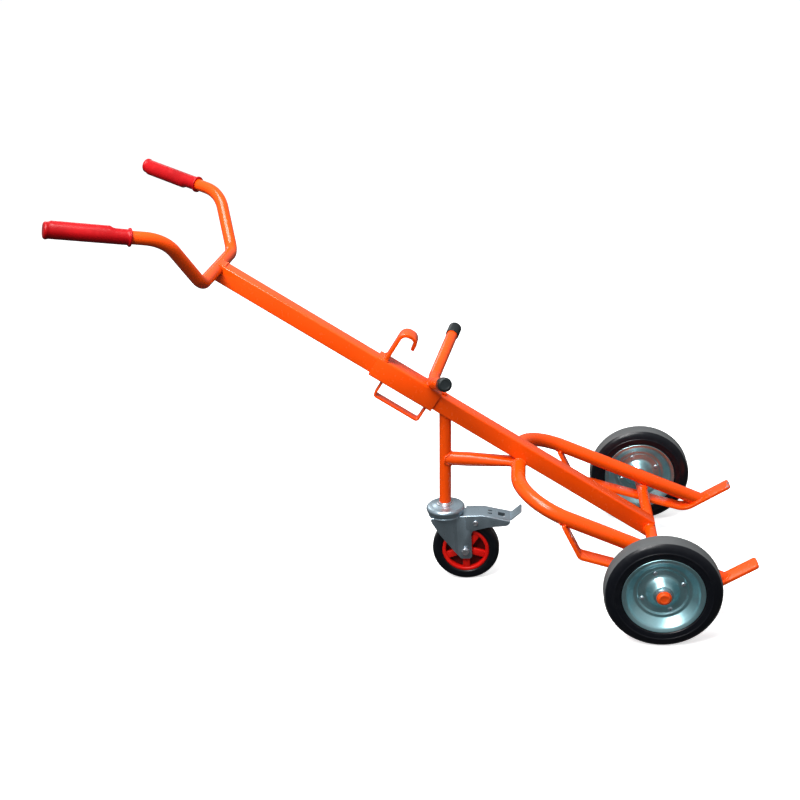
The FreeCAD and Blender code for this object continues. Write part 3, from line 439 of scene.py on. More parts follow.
bow_front_x = toe_bend_x + 62.0
bow_line = [Vector((x, side * bow_half_width, z)) * mm for x, side, z in (
    (bow_front_x, -1, bow_over_axle - bow_front_x * bow_rise), (bow_x, -1, bow_z),
    (bow_x, 1, bow_z), (bow_front_x, 1, bow_over_axle - bow_front_x * bow_rise))]
bow = bmesh.new()
draw_out(bow, round_ring(bow, bow_line[0], bow_line[1] - bow_line[0], bow_radius), bow_line,
         [bow_bend, bow_bend])
cut_off(bow, (toe_bend + toe_up * bar_thickness / 2) * mm, -toe_up)
cut_off(bow, (toe_bend + foot_up * bar_thickness / 2) * mm, -foot_up)
soften(bow, 0.6, 2, over=50.0)
make_piece("bow", bow, "frame", orange_paint, ("bow_tube",))


# ---------------------------------------------------------------------------------------------
# Foot bars: flat bar under the axle tube, bent up in front into the toes that go under the drum,
# and bent up behind into a short leg that props the bow. The paint has worn off the toes' tips.
def toe_wear(finish):
    """Paint scraped off the toes, more and more towards their tips."""
    tip = finish.step(finish.along("X"), 0.165, 0.225)
    scrape = finish.noise(60.0, 5.0, (1.0, 0.35, 1.0))
    return finish.step(scrape + tip * 0.16, 0.70, 0.76)


toe_paint = powder_coat("orange_powder_coat_scraped", toe_wear)
leg_corner_x, leg_slope, leg_run = -170.0, math.radians(66.5), 34.0
leg_corner_z = foot_over_axle - leg_corner_x * math.tan(foot_slope)
for name, side in (("right", -1), ("left", 1)):
    line = [Vector((x, side * bow_half_width, z)) * mm for x, z in (
        (leg_corner_x - leg_run, leg_corner_z + leg_run * math.tan(leg_slope)),
        (leg_corner_x, leg_corner_z), (toe_bend_x, toe_bend.z),
        (toe_tip_x, toe_bend.z + (toe_tip_x - toe_bend_x) * math.tan(toe_slope)))]
    bar = bmesh.new()
    first = square_ring(bar, line[0], (line[1] - line[0]).normalized(), across, bar_width * mm,
                        bar_thickness * mm)
    draw_out(bar, first, line, [13.0, 46.0])
    bmesh.ops.holes_fill(bar, edges=bar.edges, sides=0)
    soften(bar, 7.0, 6, wanted=lambda e: all(v.co.x > (toe_tip_x - 6) * mm for v in e.verts)
           and abs(e.verts[0].co.y - e.verts[1].co.y) < 1e-4
           and (e.verts[0].co - e.verts[1].co).length < (bar_thickness + 1) * mm)
    soften(bar, 1.1, 3, over=40.0)
    make_piece("foot_" + name, bar, "frame", toe_paint, ("foot_bar_" + name,))

# ---------------------------------------------------------------------------------------------
# Handlebar: one round steel tube, 28 mm across, with four bends and the same orange paint. It lies
# in the coped open end of the spine and is welded across it.
handle_radius, handle_lift, handle_half_flat = 14.0, 4.0, 141.0
low_bend, high_bend = 48.0, 88.0
handle_sides = []
for side in (-1, 1):
    low = on_spine(handle_reach, handle_lift, side * handle_half_flat)
    high = low + (up_spine * 101.0 + off_spine * 79.0 + across * side * 95.0) * mm
    end = high + (up_spine * 198.0 - off_spine * 69.5 + across * side * 108.5) * mm
    handle_sides.append([low, high, end])
handle_line = handle_sides[0][::-1] + handle_sides[1]
handlebar = bmesh.new()
first = round_ring(handlebar, handle_line[0], handle_line[1] - handle_line[0], handle_radius)
draw_out(handlebar, first, handle_line, [high_bend, low_bend, low_bend, high_bend])
bmesh.ops.holes_fill(handlebar, edges=handlebar.edges, sides=0)
soften(handlebar, 0.8, 2, over=60.0)
make_piece("handlebar_tube", handlebar, "frame", orange_paint, ("handlebar",))

# ---------------------------------------------------------------------------------------------
# Grips: moulded red sleeves on the handlebar's ends, 172 mm long and 32 mm thick, with a thin
# flange at the inner end and a rolled lip at the outer one. A swell fills the palm on one side.
def drawn_line(bm, corners):
    """Draws a line through points, each with its easing, and gives its corners and edges."""
    placed = []
    for point, ease in corners:
        if placed:
            made = bmesh.ops.extrude_vert_indiv(bm, verts=[placed[-1][0]])["verts"]
        else:
            made = bmesh.ops.create_vert(bm, co=(0, 0, 0))["vert"]
        made[0].co = point
        placed.append((made[0], ease))
    eased = [(v, ease) for v, ease in placed[1:-1] if ease]
    line = [v for v, ease in placed if (v, ease) not in eased]
    for corner, ease in eased:
        line += bmesh.ops.bevel(bm, geom=[corner], offset=ease * mm, offset_type="OFFSET", segments=4,
                                profile=0.5, affect="VERTICES", material=-1)["verts"]
    line = each_once(v for v in line if v.is_valid)
    return line, each_once(e for v in line for e in v.link_edges)


def turned(bm, profile, centre, axis, turns=72):
    """Turns a line of corners (radius, distance along the axis, easing) about the axis."""
    aside = axis.orthogonal().normalized()
    line, outline = drawn_line(bm, [(centre + (aside * radius + axis * distance) * mm, sum(ease))
                                    for radius, distance, *ease in profile])
    bmesh.ops.spin(bm, geom=line + outline, cent=centre, axis=axis, dvec=(0, 0, 0), angle=math.tau,
                   steps=turns, use_merge=True, use_duplicate=False)
    bmesh.ops.remove_doubles(bm, verts=bm.verts, dist=2e-6)


def moulded(name, dark, light, rough, grain=900.0, scuff=None, over=None):
    """Moulded plastic or rubber: a fine grain, a cloudy tone and a few scuffs."""
    finish = Finish(name)
    cloud = finish.noise(12.0, 3.0)
    fine = finish.noise(grain, 2.0)
    marks = finish.step(finish.noise(48.0, 6.0, (1.0, 0.3, 1.0)), 0.58, 0.75)
    colour = finish.mix(finish.step(cloud, 0.3, 0.7), dark, light)
    scuff = scuff or (light[0] * 1.2, light[1] * 1.3, light[2] * 1.3, 1.0)
    colour = finish.mix(marks * 0.35, colour, scuff)
    if over:
        colour = over(finish, colour)
    return finish.surface({
        "Base Color": colour, "Roughness": rough + cloud * 0.08 + marks * 0.12, "Specular IOR Level": 0.3,
        "Normal": finish.bump(fine, 0.00025, 0.4, finish.bump(cloud, 0.0006, 0.15))})


red_grip = moulded("red_grip", (0.33, 0.001, 0.003, 1.0), (0.47, 0.002, 0.005, 1.0), 0.28)
grip_length, grip_skin, grip_swell, grip_past_tube = 172.0, 16.2, 4.3, 4.0
swell_from, swell_until, swell_in, swell_out = 34.0, 165.0, 9.0, 7.0
for name, handle_side, turn in (("right", handle_sides[0], 20.0), ("left", handle_sides[1], 215.0)):
    high, end = handle_side[1:]
    outward = (end - high).normalized()
    inner = end + outward * (grip_past_tube - grip_length) * mm
    grip = bmesh.new()
    barrel = [(grip_skin, 12.0 + i * 5.0) for i in range(30)]
    turned(grip, [(14.1, 0.0), (18.6, 0.0, 0.4), (19.4, 1.4, 0.5), (19.4, 3.8, 0.5), (18.4, 5.0, 0.4),
                  (grip_skin + 0.6, 5.6, 0.4), (grip_skin, 7.5)] + barrel
           + [(grip_skin, 161.5), (17.7, 165.5, 0.8), (17.7, 169.0, 1.2), (14.6, grip_length, 1.4),
              (0.0, grip_length)],
           inner, outward, 56)
    sideways = outward.cross(Vector((0, 0, 1))).normalized()
    upward = sideways.cross(outward).normalized()
    palm = upward * math.cos(math.radians(turn)) + sideways * math.sin(math.radians(turn))
    for corner in grip.verts:
        out = corner.co - inner
        distance = out.dot(outward) / mm
        out -= outward * out.dot(outward)
        facing = max(0.0, out.normalized().dot(palm)) if out.length > 0.012 else 0.0
        risen = min(1.0, max(0.0, (distance - swell_from) / swell_in))
        risen *= min(1.0, max(0.0, (swell_until - distance) / swell_out))
        corner.co += palm * grip_swell * mm * risen * risen * (3 - 2 * risen) * facing ** 0.7
    make_piece("grip_" + name + "_sleeve", grip, "frame", red_grip, ("grip_" + name,), 40.0)

# ---------------------------------------------------------------------------------------------
# Castor post: a round tube leaning a little forwards, cut to the spine's underside. The brace is a
# thicker tube, round at the post and pressed to an oval where it meets the bow's closed end.
post_radius, post_lean, castor_setback, castor_height = 14.0, math.radians(3.5), 478.0, 198.0
post_up = Vector((math.sin(post_lean), 0.0, math.cos(post_lean)))
post_foot = Vector((-castor_setback, 0.0, castor_height)) * mm
under_spine = on_spine(0, -spine_size / 2, 0)
post = bmesh.new()
post_stock, post_spare = 320.0, 10.0
push_out(post, round_ring(post, post_foot - post_up * post_spare * mm, post_up, post_radius),
         post_up * post_stock * mm)
cut_off(post, under_spine - off_spine * 0.0001, off_spine)
cut_off(post, post_foot, Vector((0, 0, -1)))
make_piece("post", post, "frame", orange_paint, ("castor_post",))
dress(plain_steel, "post_plug", "kingpin")

brace_radius, brace_seat, brace_drop = 16.5, 2.0, 14.0
brace_stop = Vector((bow_x, 0.0, bow_z + brace_seat)) * mm
brace_start = post_foot + post_up * ((bow_z + brace_seat + brace_drop - castor_height) * mm / post_up.z)
brace_run = brace_stop - brace_start
brace_rise = brace_run.cross(across).normalized() * -1
brace = bmesh.new()
ring = round_ring(brace, brace_start + brace_run.normalized() * 2 * mm, brace_run, brace_radius, 48)
brace_steps, round_share, pressed_wider, pressed_flatter = 24, 0.35, 0.21, 0.333
for count in range(1, brace_steps + 1):
    ring = push_out(brace, ring, (brace_run - brace_run.normalized() * 10 * mm) / brace_steps)
    squeeze = max(0.0, (count / brace_steps - round_share) / (1 - round_share))
    before = max(0.0, ((count - 1) / brace_steps - round_share) / (1 - round_share))
    wide = (1 + pressed_wider * squeeze) / (1 + pressed_wider * before)
    flat = (1 - pressed_flatter * squeeze) / (1 - pressed_flatter * before)
    corners = each_once(v for e in ring for v in e.verts)
    middle = sum((v.co for v in corners), Vector()) / len(corners)
    turn = Matrix((across, brace_rise, brace_run.normalized())).to_4x4()
    bmesh.ops.scale(brace, vec=(wide, flat, 1.0), space=turn @ Matrix.Translation(-middle), verts=corners)
bmesh.ops.holes_fill(brace, edges=brace.edges, sides=0)
make_piece("brace", brace, "frame", orange_paint, ("post_brace",))

# ---------------------------------------------------------------------------------------------
# Stop bolt: a steel bolt with a hexagon head, 13 mm across flats, screwed into the spine's top and
# painted over. The sleeve rests against it at the bottom of its slide.
def hexagon_head(bm, place, heading, flats, height, turn=0.0):
    """A hexagon head with its upper corners turned off and a small dished face."""
    upright = heading.to_track_quat("Z", "Y").to_matrix().to_4x4()
    stance = Matrix.Translation(place) @ upright @ Matrix.Rotation(turn, 4, "Z")
    made = bmesh.ops.create_circle(bm, cap_ends=True, radius=flats / math.sqrt(3.0) * mm, segments=6,
                                   matrix=stance)
    face = each_once(f for v in made["verts"] for f in v.link_faces)
    grown = bmesh.ops.extrude_face_region(bm, geom=face)["geom"]
    top = [g for g in grown if isinstance(g, bmesh.types.BMFace)]
    corners = [g for g in grown if isinstance(g, bmesh.types.BMVert)]
    bmesh.ops.translate(bm, verts=corners, vec=heading * height * 0.82 * mm)
    bmesh.ops.inset_region(bm, faces=top, thickness=flats * 0.07 * mm, use_even_offset=True)
    bmesh.ops.translate(bm, verts=top[0].verts, vec=heading * height * 0.18 * mm)
    bmesh.ops.inset_region(bm, faces=top, thickness=flats * 0.16 * mm, depth=-0.4 * mm,
                           use_even_offset=True)


def rod(bm, start, run, radius):
    """A plain round rod from a point along a run."""
    upright = run.to_track_quat("Z", "Y").to_matrix().to_4x4()
    bmesh.ops.create_cone(bm, cap_ends=True, segments=32, radius1=radius * mm, radius2=radius * mm,
                          depth=run.length, matrix=Matrix.Translation(start + run / 2) @ upright)


stop_across, stop_head, carriage_rest = 13.0, 5.3, 588.0
stop_along = carriage_rest - 0.3 - stop_across / 2
stop_bolt = bmesh.new()
hexagon_head(stop_bolt, on_spine(stop_along, spine_size / 2 + 0.1, 0), off_spine, stop_across, stop_head)
soften(stop_bolt, 0.3, 2, over=25.0)
rod(stop_bolt, on_spine(stop_along, spine_size / 2, 0), -off_spine * 11.8 * mm, 4.0)
make_piece("stop_bolt_head", stop_bolt, "frame", orange_paint, ("stop_bolt",), 40.0)

# ---------------------------------------------------------------------------------------------
# Frame welds: rippled beads about 5 mm wide run round every joint of the frame and lie under the
# same orange paint. They have no joint of their own and ride with the frame.
def weld_bead(bm, path, width=5.0, closed=False, ripple=1.5):
    """Lays a bead along a line of points: a ring drawn out, swelling and shrinking as it goes."""
    path = list(path) + ([path[0]] if closed else [])
    spots, left = [path[0].copy()], 0.0
    for start, stop in zip(path, path[1:]):
        run = (stop - start).length / mm
        reach = ripple - left
        while reach < run:
            spots.append(start.lerp(stop, reach / run))
            reach += ripple
        left = run - (reach - ripple)
    if closed and (spots[-1] - spots[0]).length < ripple * 0.6 * mm:
        spots.pop()
    count = len(spots)
    heads = []
    for number in range(count):
        onward = spots[(number + 1) % count] if closed or number + 1 < count else spots[number]
        back = spots[number - 1] if closed or number else spots[number]
        heads.append((onward - back).normalized())
    first = round_ring(bm, spots[0], heads[0], width * 0.25, 8)
    ring, size, heading = first, 1.0, heads[0]
    for number in range(1, count):
        ring = push_out(bm, ring, spots[number] - spots[number - 1])
        corners = each_once(v for e in ring for v in e.verts)
        end = not closed and number == count - 1
        swell = 1.0 if end else (2.1 if number % 3 == 1 else 1.85 if number % 3 == 2 else 1.6)
        space = Matrix.Translation(-spots[number])
        swing = heading.rotation_difference(heads[number]).to_matrix()
        bmesh.ops.rotate(bm, verts=corners, cent=spots[number], matrix=swing)
        bmesh.ops.scale(bm, verts=corners, vec=(swell / size,) * 3, space=space)
        size, heading = swell, heads[number]
    if closed:
        bmesh.ops.bridge_loops(bm, edges=first + ring)
    else:
        bmesh.ops.holes_fill(bm, edges=first + ring, sides=0)


def slide_to_plane(point, heading, spot, normal):
    """Where a line from a point meets a plane."""
    return point + heading * ((spot - point).dot(normal) / heading.dot(normal))


def slide_to_tube(point, heading, spot, axis, radius):
    """Where a line from a point first meets a round tube, or comes nearest to it."""
    across_line = heading - axis * heading.dot(axis)
    offset = point - spot
    offset -= axis * offset.dot(axis)
    a, b = across_line.dot(across_line), 2 * across_line.dot(offset)
    c = offset.dot(offset) - (radius * mm) ** 2
    return point + heading * ((-b - math.sqrt(max(0.0, b * b - 4 * a * c))) / (2 * a))


def circle_of(place, first, second, radius, start=0.0, stop=360.0, count=40):
    """Points on an arc between two directions square to each other."""
    angles = [math.radians(start + (stop - start) * i / count) for i in range(count + 1)]
    return [place + (first * math.cos(a) + second * math.sin(a)) * radius * mm for a in angles]


welds = bmesh.new()
spine_face = spine_size / 2
for side in (-1, 1):
    face = across * side * spine_face * mm
    weld_bead(welds, circle_of(axle_centre + face, off_spine, up_spine, axle_tube_radius + 0.4, 0, 180))
    weld_bead(welds, circle_of(on_spine(handle_reach, handle_lift, 0) + face, off_spine, -up_spine,
                               handle_radius + 0.4, 0, 180))
    weld_bead(welds, [on_spine(handle_reach - handle_radius, spine_face, y) for y in (-17, 17)][::side])

bow_end = Vector((bow_x, 0.0, bow_z)) * mm
saddle = math.degrees(math.acos((bow_radius - bow_notch) / bow_radius))
right_arc, left_arc = [circle_of(bow_end + across * side * (spine_face + 0.3) * mm, off_spine, up_spine,
                                 bow_radius, -saddle, saddle, 16) for side in (-1, 1)]
weld_bead(welds, right_arc + left_arc[::-1], 5.5, closed=True)

post_ring = circle_of(post_foot, across, across.cross(post_up).normalized(), post_radius + 0.3)[:-1]
post_top = under_spine - off_spine * 0.5 * mm
weld_bead(welds, [slide_to_plane(p, post_up, post_top, off_spine) for p in post_ring], 5.5, closed=True)
brace_heading = brace_run.normalized()
brace_mouth = circle_of(brace_start, across, brace_rise, brace_radius + 0.3)[:-1]
weld_bead(welds, [slide_to_tube(p, -brace_heading, brace_start, post_up, post_radius)
                  for p in brace_mouth], 5.0, closed=True)
oval_wide, oval_high = 20.3, 11.3
oval = [brace_start + brace_run * 0.5
        + (across * oval_wide * math.cos(a) + brace_rise * oval_high * math.sin(a)) * mm
        for a in [math.tau * i / 48 for i in range(48)]]
weld_bead(welds, [slide_to_tube(p, brace_heading, bow_end, across, bow_radius) for p in oval], 5.0,
          closed=True)

arm_heading = Vector((math.cos(bow_slope), 0.0, -math.sin(bow_slope)))
arm_up = Vector((math.sin(bow_slope), 0.0, math.cos(bow_slope)))
foot_heading = Vector((math.cos(foot_slope), 0.0, -math.sin(foot_slope)))
leg_heading = Vector((-math.cos(leg_slope), 0.0, math.sin(leg_slope)))
for side in (-1, 1):
    line = across * side * bow_half_width * mm
    for way in (-1, 1):
        weld_bead(welds, circle_of(axle_centre + line + across * way * 10.5 * mm, arm_up, arm_heading,
                                   axle_tube_radius + 0.3, -42, 42, 12), 6.0)
        seat = axle_centre + line + (foot_heading * way * 6.5 - foot_up * (axle_tube_radius - 0.5)) * mm
        weld_bead(welds, [seat - across * 18 * mm, seat + across * 18 * mm], 5.0)
        leg = Vector((leg_corner_x, 0.0, leg_corner_z)) * mm + line
        leg += leg_heading.cross(across) * way * (bar_thickness / 2 + 0.6) * mm
        weld_bead(welds, [slide_to_tube(leg + across * y * mm, leg_heading, bow_end + line, arm_heading,
                                        bow_radius) for y in (-14, -10, -5, 0, 5, 10, 14)], 4.5)
    arm_ring = circle_of(bow_end + line, across, arm_up, bow_radius + 0.3)[:-1]
    landing, over_bar = [], bar_thickness / 2 + 0.4
    for p in arm_ring:
        on_toe = slide_to_plane(p, arm_heading, (toe_bend + toe_up * over_bar) * mm, toe_up)
        on_foot = slide_to_plane(p, arm_heading, (toe_bend + foot_up * over_bar) * mm, foot_up)
        landing.append(min(on_toe, on_foot, key=lambda spot: spot.x))
    weld_bead(welds, landing, 5.0, closed=True)
make_piece("frame_weld_beads", welds, "frame", orange_paint, sharp=60.0)

# ---------------------------------------------------------------------------------------------
# Main wheels: 250 mm puncture-proof tyres on two riveted rim halves pressed from zinc-plated
# sheet, a roller bearing in the hub tube, and an orange cap pushed on each end of the axle.
def tyre_rubber(name, x, z, tread, spread, tone=1.0):
    """Black rubber, shinier on the sidewall and scuffed to a matt grey on the tread."""
    finish = Finish(name)
    radius = finish.from_axle(x, z)
    worn = finish.step(radius, tread - spread, tread)
    cloud = finish.noise(18.0, 4.0)
    dust = finish.step(finish.noise(75.0, 5.0), 0.45, 0.75)
    side = finish.mix(dust * 0.2, (0.0035 * tone, 0.0042 * tone, 0.0070 * tone, 1.0),
                      (0.014, 0.015, 0.018, 1.0))
    ground = finish.mix(cloud, (0.075, 0.079, 0.082, 1.0), (0.115, 0.119, 0.120, 1.0))
    return finish.surface({
        "Base Color": finish.mix(worn, side, ground), "Specular IOR Level": 0.35,
        "Roughness": 0.30 + worn * 0.45 + dust * 0.08,
        "Normal": finish.bump(finish.noise(850.0, 2.0), 0.0003, 0.35, finish.bump(cloud, 0.0006, 0.15))})


def pressed_zinc(name, embossed):
    """Zinc-plated pressings with a raised ring rolled into the dish of the rim."""
    finish = Finish(name)
    radius = finish.from_axle(0.0, axle_height * mm)
    cloud = finish.noise(14.0, 3.0)
    spangle = finish.noise(240.0, 3.0)
    spun = finish.step(finish.node("ShaderNodeTexNoise", {"noise_dimensions": "1D"},
                                   {"W": radius, "Scale": 900.0, "Detail": 3.0}), 0.35, 0.65)
    inside = finish.step(radius, embossed - 0.0018, embossed)
    ring = inside - finish.step(radius, embossed + 0.0008, embossed + 0.0026)
    colour = finish.mix(finish.step(cloud, 0.3, 0.7), (0.42, 0.74, 0.80, 1.0), (0.56, 0.88, 0.93, 1.0))
    colour = finish.mix(finish.step(finish.noise(30.0, 4.0), 0.55, 0.75, 0.0, 0.4), colour,
                        (0.40, 0.55, 0.62, 1.0))
    return finish.surface({
        "Base Color": colour, "Metallic": 1.0, "Roughness": 0.26 + spangle * 0.12 + spun * 0.06,
        "Normal": finish.bump(spangle, 0.0002, 0.2, finish.bump(ring + spun * 0.03, 0.0006, 0.5))})


def both_faces(half):
    """Closes half an outline, given from the bore to the middle of the rim, with its mirror image."""
    return half + [(radius, -distance, *ease) for radius, distance, *ease in half[::-1]] + [half[0]]


black_tyre = tyre_rubber("wheel_tyre_rubber", 0.0, axle_height * mm, 0.1222, 0.0007)
rim_zinc = pressed_zinc("rim_zinc", 0.0545)
hub_zinc = zinc_plate("hub_zinc", (0.50, 0.58, 0.63, 1.0), (0.68, 0.74, 0.78, 1.0), 0.22)
orange_cap = moulded("axle_cap_orange", (0.86, 0.075, 0.006, 1.0), (0.95, 0.10, 0.008, 1.0), 0.35, 900.0,
                     (0.95, 0.20, 0.05, 1.0))
tyre_half = [(78.6, 17.0), (85.6, 22.2), (88.2, 22.6), (91.0, 25.4, 0.8), (100.0, 26.2, 2.0),
             (101.6, 26.3, 0.5), (103.0, 27.4, 0.7), (104.4, 26.2, 0.5), (112.0, 25.0, 4.0),
             (119.0, 21.5, 3.6), (123.5, 16.0, 3.0), (125.0, 12.5, 1.4)]
rim_outline = [(18.1, 19.4), (18.1, 22.0), (21.6, 22.0, 1.2), (31.0, 8.0, 6.0), (35.5, 3.6, 2.0),
               (39.5, 2.3, 1.2), (52.3, 2.3, 1.2), (55.3, 5.4, 1.4), (61.5, 5.4, 0.8), (63.0, 6.4, 1.6),
               (75.5, 18.5, 3.4), (77.0, 21.0, 1.6), (79.5, 23.0, 1.4), (85.0, 24.9, 1.0),
               (87.2, 25.5, 0.7), (88.0, 24.2, 0.7), (87.6, 22.9, 0.4), (85.5, 22.6, 0.8),
               (80.4, 20.6, 1.2), (79.2, 18.9, 1.2), (65.2, 4.9, 1.5), (62.6, 3.2, 0.8), (56.1, 3.2, 1.0),
               (53.1, 0.1, 0.8), (38.7, 0.1, 0.8), (33.7, 1.5, 1.0), (29.3, 6.2, 3.0), (20.1, 19.4, 0.4),
               (18.1, 19.4)]
half_track, rivet_circle, rim_face, cap_seat = 300.0, 46.0, 2.3, 30.4
rivet_head = [(0.0, 0.05), (5.5, 0.05), (5.4, 0.9, 0.3), (4.2, 2.2, 0.8), (2.2, 2.75, 0.5), (0.0, 2.8)]
for name, side in (("right", -1), ("left", 1)):
    body, outward = "wheel_" + name, across * side
    centre = axle_centre + outward * half_track * mm
    tyre = bmesh.new()
    turned(tyre, both_faces(tyre_half), centre, outward, 128)
    make_piece("tyre_" + name + "_ring", tyre, body, black_tyre, ("tyre_" + name,))
    for half, way in (("outer", 1), ("inner", -1)):
        rim = bmesh.new()
        turned(rim, rim_outline, centre, outward * way, 112)
        make_piece("rim_" + half + "_" + name + "_pressing", rim, body, rim_zinc,
                   ("rim_" + half + "_" + name,))
    rivets = bmesh.new()
    for count in range(4):
        angle = math.radians(20.0 + 90.0 * count)
        place = centre + Vector((math.cos(angle), 0.0, math.sin(angle))) * rivet_circle * mm
        for way in (-1, 1):
            turned(rivets, rivet_head, place + outward * way * rim_face * mm, outward * way, 24)
    make_piece("rim_rivet_heads_" + name, rivets, body, hub_zinc,
               ("rim_rivets_" + name,), 50.0)
    hub = bmesh.new()
    turned(hub, [(15.1, -28.0), (17.6, -28.0, 0.4), (18.0, -27.4, 0.3), (18.0, 27.4, 0.3),
                 (17.6, 28.0, 0.4), (15.1, 28.0), (15.1, -28.0)], centre, outward, 64)
    make_piece("hub_" + name, hub, body, hub_zinc, ("hub_tube_" + name,))
    cap = bmesh.new()
    turned(cap, [(10.1, 0.1), (15.4, 0.1, 0.3), (16.0, 0.8, 0.4), (15.6, 2.5, 0.5), (12.9, 2.8, 0.3),
                 (12.5, 3.6, 0.3), (12.4, 5.8, 0.4), (10.6, 7.4, 0.9), (7.6, 7.4, 0.3), (7.2, 6.9, 0.2),
                 (0.0, 6.9)], centre + outward * cap_seat * mm, outward, 48)
    make_piece("axle_cap_" + name + "_button", cap, "frame", orange_cap,
               ("axle_cap_" + name,), 40.0)
dress(plain_steel, "roller_bearing_left", "roller_bearing_right")

# ---------------------------------------------------------------------------------------------
# Carriage: a square sleeve that slides on the spine. It carries the hook that catches the drum's
# rim, the crossbar the drum leans on, and a strap handle underneath to shift it by.
sleeve_size, sleeve_length, sleeve_wall = 50.0, 166.0, 4.5
sleeve_half = sleeve_size / 2
sleeve_high = carriage_rest + sleeve_length
sleeve = bmesh.new()
first = square_ring(sleeve, on_spine(carriage_rest, 0, 0), up_spine, across, sleeve_size * mm,
                    sleeve_size * mm)
push_out(sleeve, first, up_spine * sleeve_length * mm)
bmesh.ops.holes_fill(sleeve, edges=sleeve.edges, sides=0)
bmesh.ops.recalc_face_normals(sleeve, faces=sleeve.faces)
low_end, high_end = sorted((f for f in sleeve.faces if abs(f.normal.dot(up_spine)) > 0.99),
                           key=lambda f: f.calc_center_median().dot(up_spine))
for end in (low_end, high_end):
    bmesh.ops.inset_region(sleeve, faces=[end], thickness=sleeve_wall * mm, use_even_offset=True)
bore = bmesh.ops.extrude_discrete_faces(sleeve, faces=[low_end])["faces"]
bmesh.ops.translate(sleeve, verts=bore[0].verts, vec=up_spine * sleeve_length * mm)
bmesh.ops.delete(sleeve, geom=[bore[0], high_end], context="FACES_ONLY")
bmesh.ops.remove_doubles(sleeve, verts=sleeve.verts, dist=1e-5)
bmesh.ops.recalc_face_normals(sleeve, faces=sleeve.faces)
soften(sleeve, 3.4, 4, wanted=lambda e: all(abs(v.co.y) > 0.024 for v in e.verts) and runs_up_spine(e))
soften(sleeve, 0.5, 2, over=60.0)
make_piece("carriage_sleeve", sleeve, "carriage", orange_paint, ("sleeve",))

hook_width, hook_tip_width, hook_thickness, hook_bend = 46.0, 16.0, 8.0, 17.0
hook_leg = sleeve_high - 17.0
hook_crown = sleeve_half + 82.0 - hook_thickness / 2
hook_back = hook_leg - 2 * hook_bend - 2.0
hook_tip = hook_crown - hook_bend - 12.0
hook_line = [on_spine(hook_leg, sleeve_half + 0.1, 0), on_spine(hook_leg, hook_crown, 0),
             on_spine(hook_back, hook_crown, 0), on_spine(hook_back - 3.0, hook_tip, 0)]


def hook_wear(finish):
    """Paint rubbed through where the drum's rim bears inside the hook's crown."""
    lift = finish.along("Z") * off_spine.z + finish.along("X") * off_spine.x
    crown = on_spine(0, hook_crown - 10, 0).dot(off_spine)
    rub = finish.step(lift, crown - 0.012, crown + 0.012)
    return finish.step(finish.noise(75.0, 5.0, (1.0, 0.5, 1.0)) + rub * 0.10, 0.72, 0.78)


hook_paint = powder_coat("orange_powder_coat_rubbed", hook_wear)
hook = bmesh.new()
first = square_ring(hook, hook_line[0], off_spine, across, hook_width * mm, hook_thickness * mm)
draw_out(hook, first, hook_line, [hook_bend, hook_bend * 0.9])
bmesh.ops.holes_fill(hook, edges=hook.edges, sides=0)
taper_from, taper_run = hook_crown + 2.0, hook_bend + 22.0
for corner in hook.verts:
    place = corner.co - axle_centre
    if place.dot(up_spine) / mm < hook_leg - hook_bend:
        fallen = min(1.0, max(0.0, (taper_from - place.dot(off_spine) / mm) / taper_run))
        corner.co.y *= 1.0 - (1.0 - hook_tip_width / hook_width) * fallen
soften(hook, 6.8, 4, wanted=lambda e: abs(e.verts[0].co.y - e.verts[1].co.y) < 1e-4
       and all((v.co - axle_centre).dot(up_spine) / mm < hook_back + 3 for v in e.verts)
       and all((v.co - axle_centre).dot(off_spine) / mm < hook_crown - hook_bend - 6 for v in e.verts)
       and 0.006 < (e.verts[0].co - e.verts[1].co).length < 0.0095)
soften(hook, 1.2, 3, over=40.0)
make_piece("hook", hook, "carriage", hook_paint, ("chime_hook",))

crossbar_radius, crossbar_flat, crossbar_half, crossbar_lift = 13.45, 24.0, 196.0, 72.0
crossbar_at = carriage_rest + 31.0
crossbar_seat = sleeve_half + 0.1 + crossbar_radius
crossbar_line = [on_spine(crossbar_at, crossbar_seat + crossbar_lift, -crossbar_half),
                 on_spine(crossbar_at, crossbar_seat, -crossbar_flat),
                 on_spine(crossbar_at, crossbar_seat, crossbar_flat),
                 on_spine(crossbar_at, crossbar_seat + crossbar_lift, crossbar_half)]
crossbar = bmesh.new()
first = round_ring(crossbar, crossbar_line[0], crossbar_line[1] - crossbar_line[0], crossbar_radius)
draw_out(crossbar, first, crossbar_line, [40.0, 40.0], 3.0)
bmesh.ops.holes_fill(crossbar, edges=crossbar.edges, sides=0)
soften(crossbar, 0.8, 2, over=60.0)
make_piece("crossbar_tube", crossbar, "carriage", orange_paint, ("crossbar",))

# ---------------------------------------------------------------------------------------------
# Crossbar caps: black moulded plastic, pushed 30 mm over each end of the crossbar to close the cut
# tube. Each has a dished face and a rounded rim.
cap_grasp = 30.0
black_cap = moulded("black_cap_plastic", (0.006, 0.009, 0.010, 1.0), (0.014, 0.019, 0.020, 1.0), 0.31)
for name, tip, inner in (("right", crossbar_line[0], crossbar_line[1]),
                         ("left", crossbar_line[3], crossbar_line[2])):
    outward = (tip - inner).normalized()
    cap = bmesh.new()
    turned(cap, [(13.5, 0.0), (15.3, 0.0, 0.3), (15.65, 0.6, 0.3), (15.65, 29.5, 0.8), (14.4, 32.4, 1.2),
                 (11.5, 34.0, 1.4), (9.6, 34.0, 0.3), (9.2, 33.4, 0.3), (0.0, 33.4)],
           tip - outward * cap_grasp * mm, outward, 56)
    make_piece("cap_" + name, cap, "carriage", black_cap, ("crossbar_cap_" + name,), 40.0)

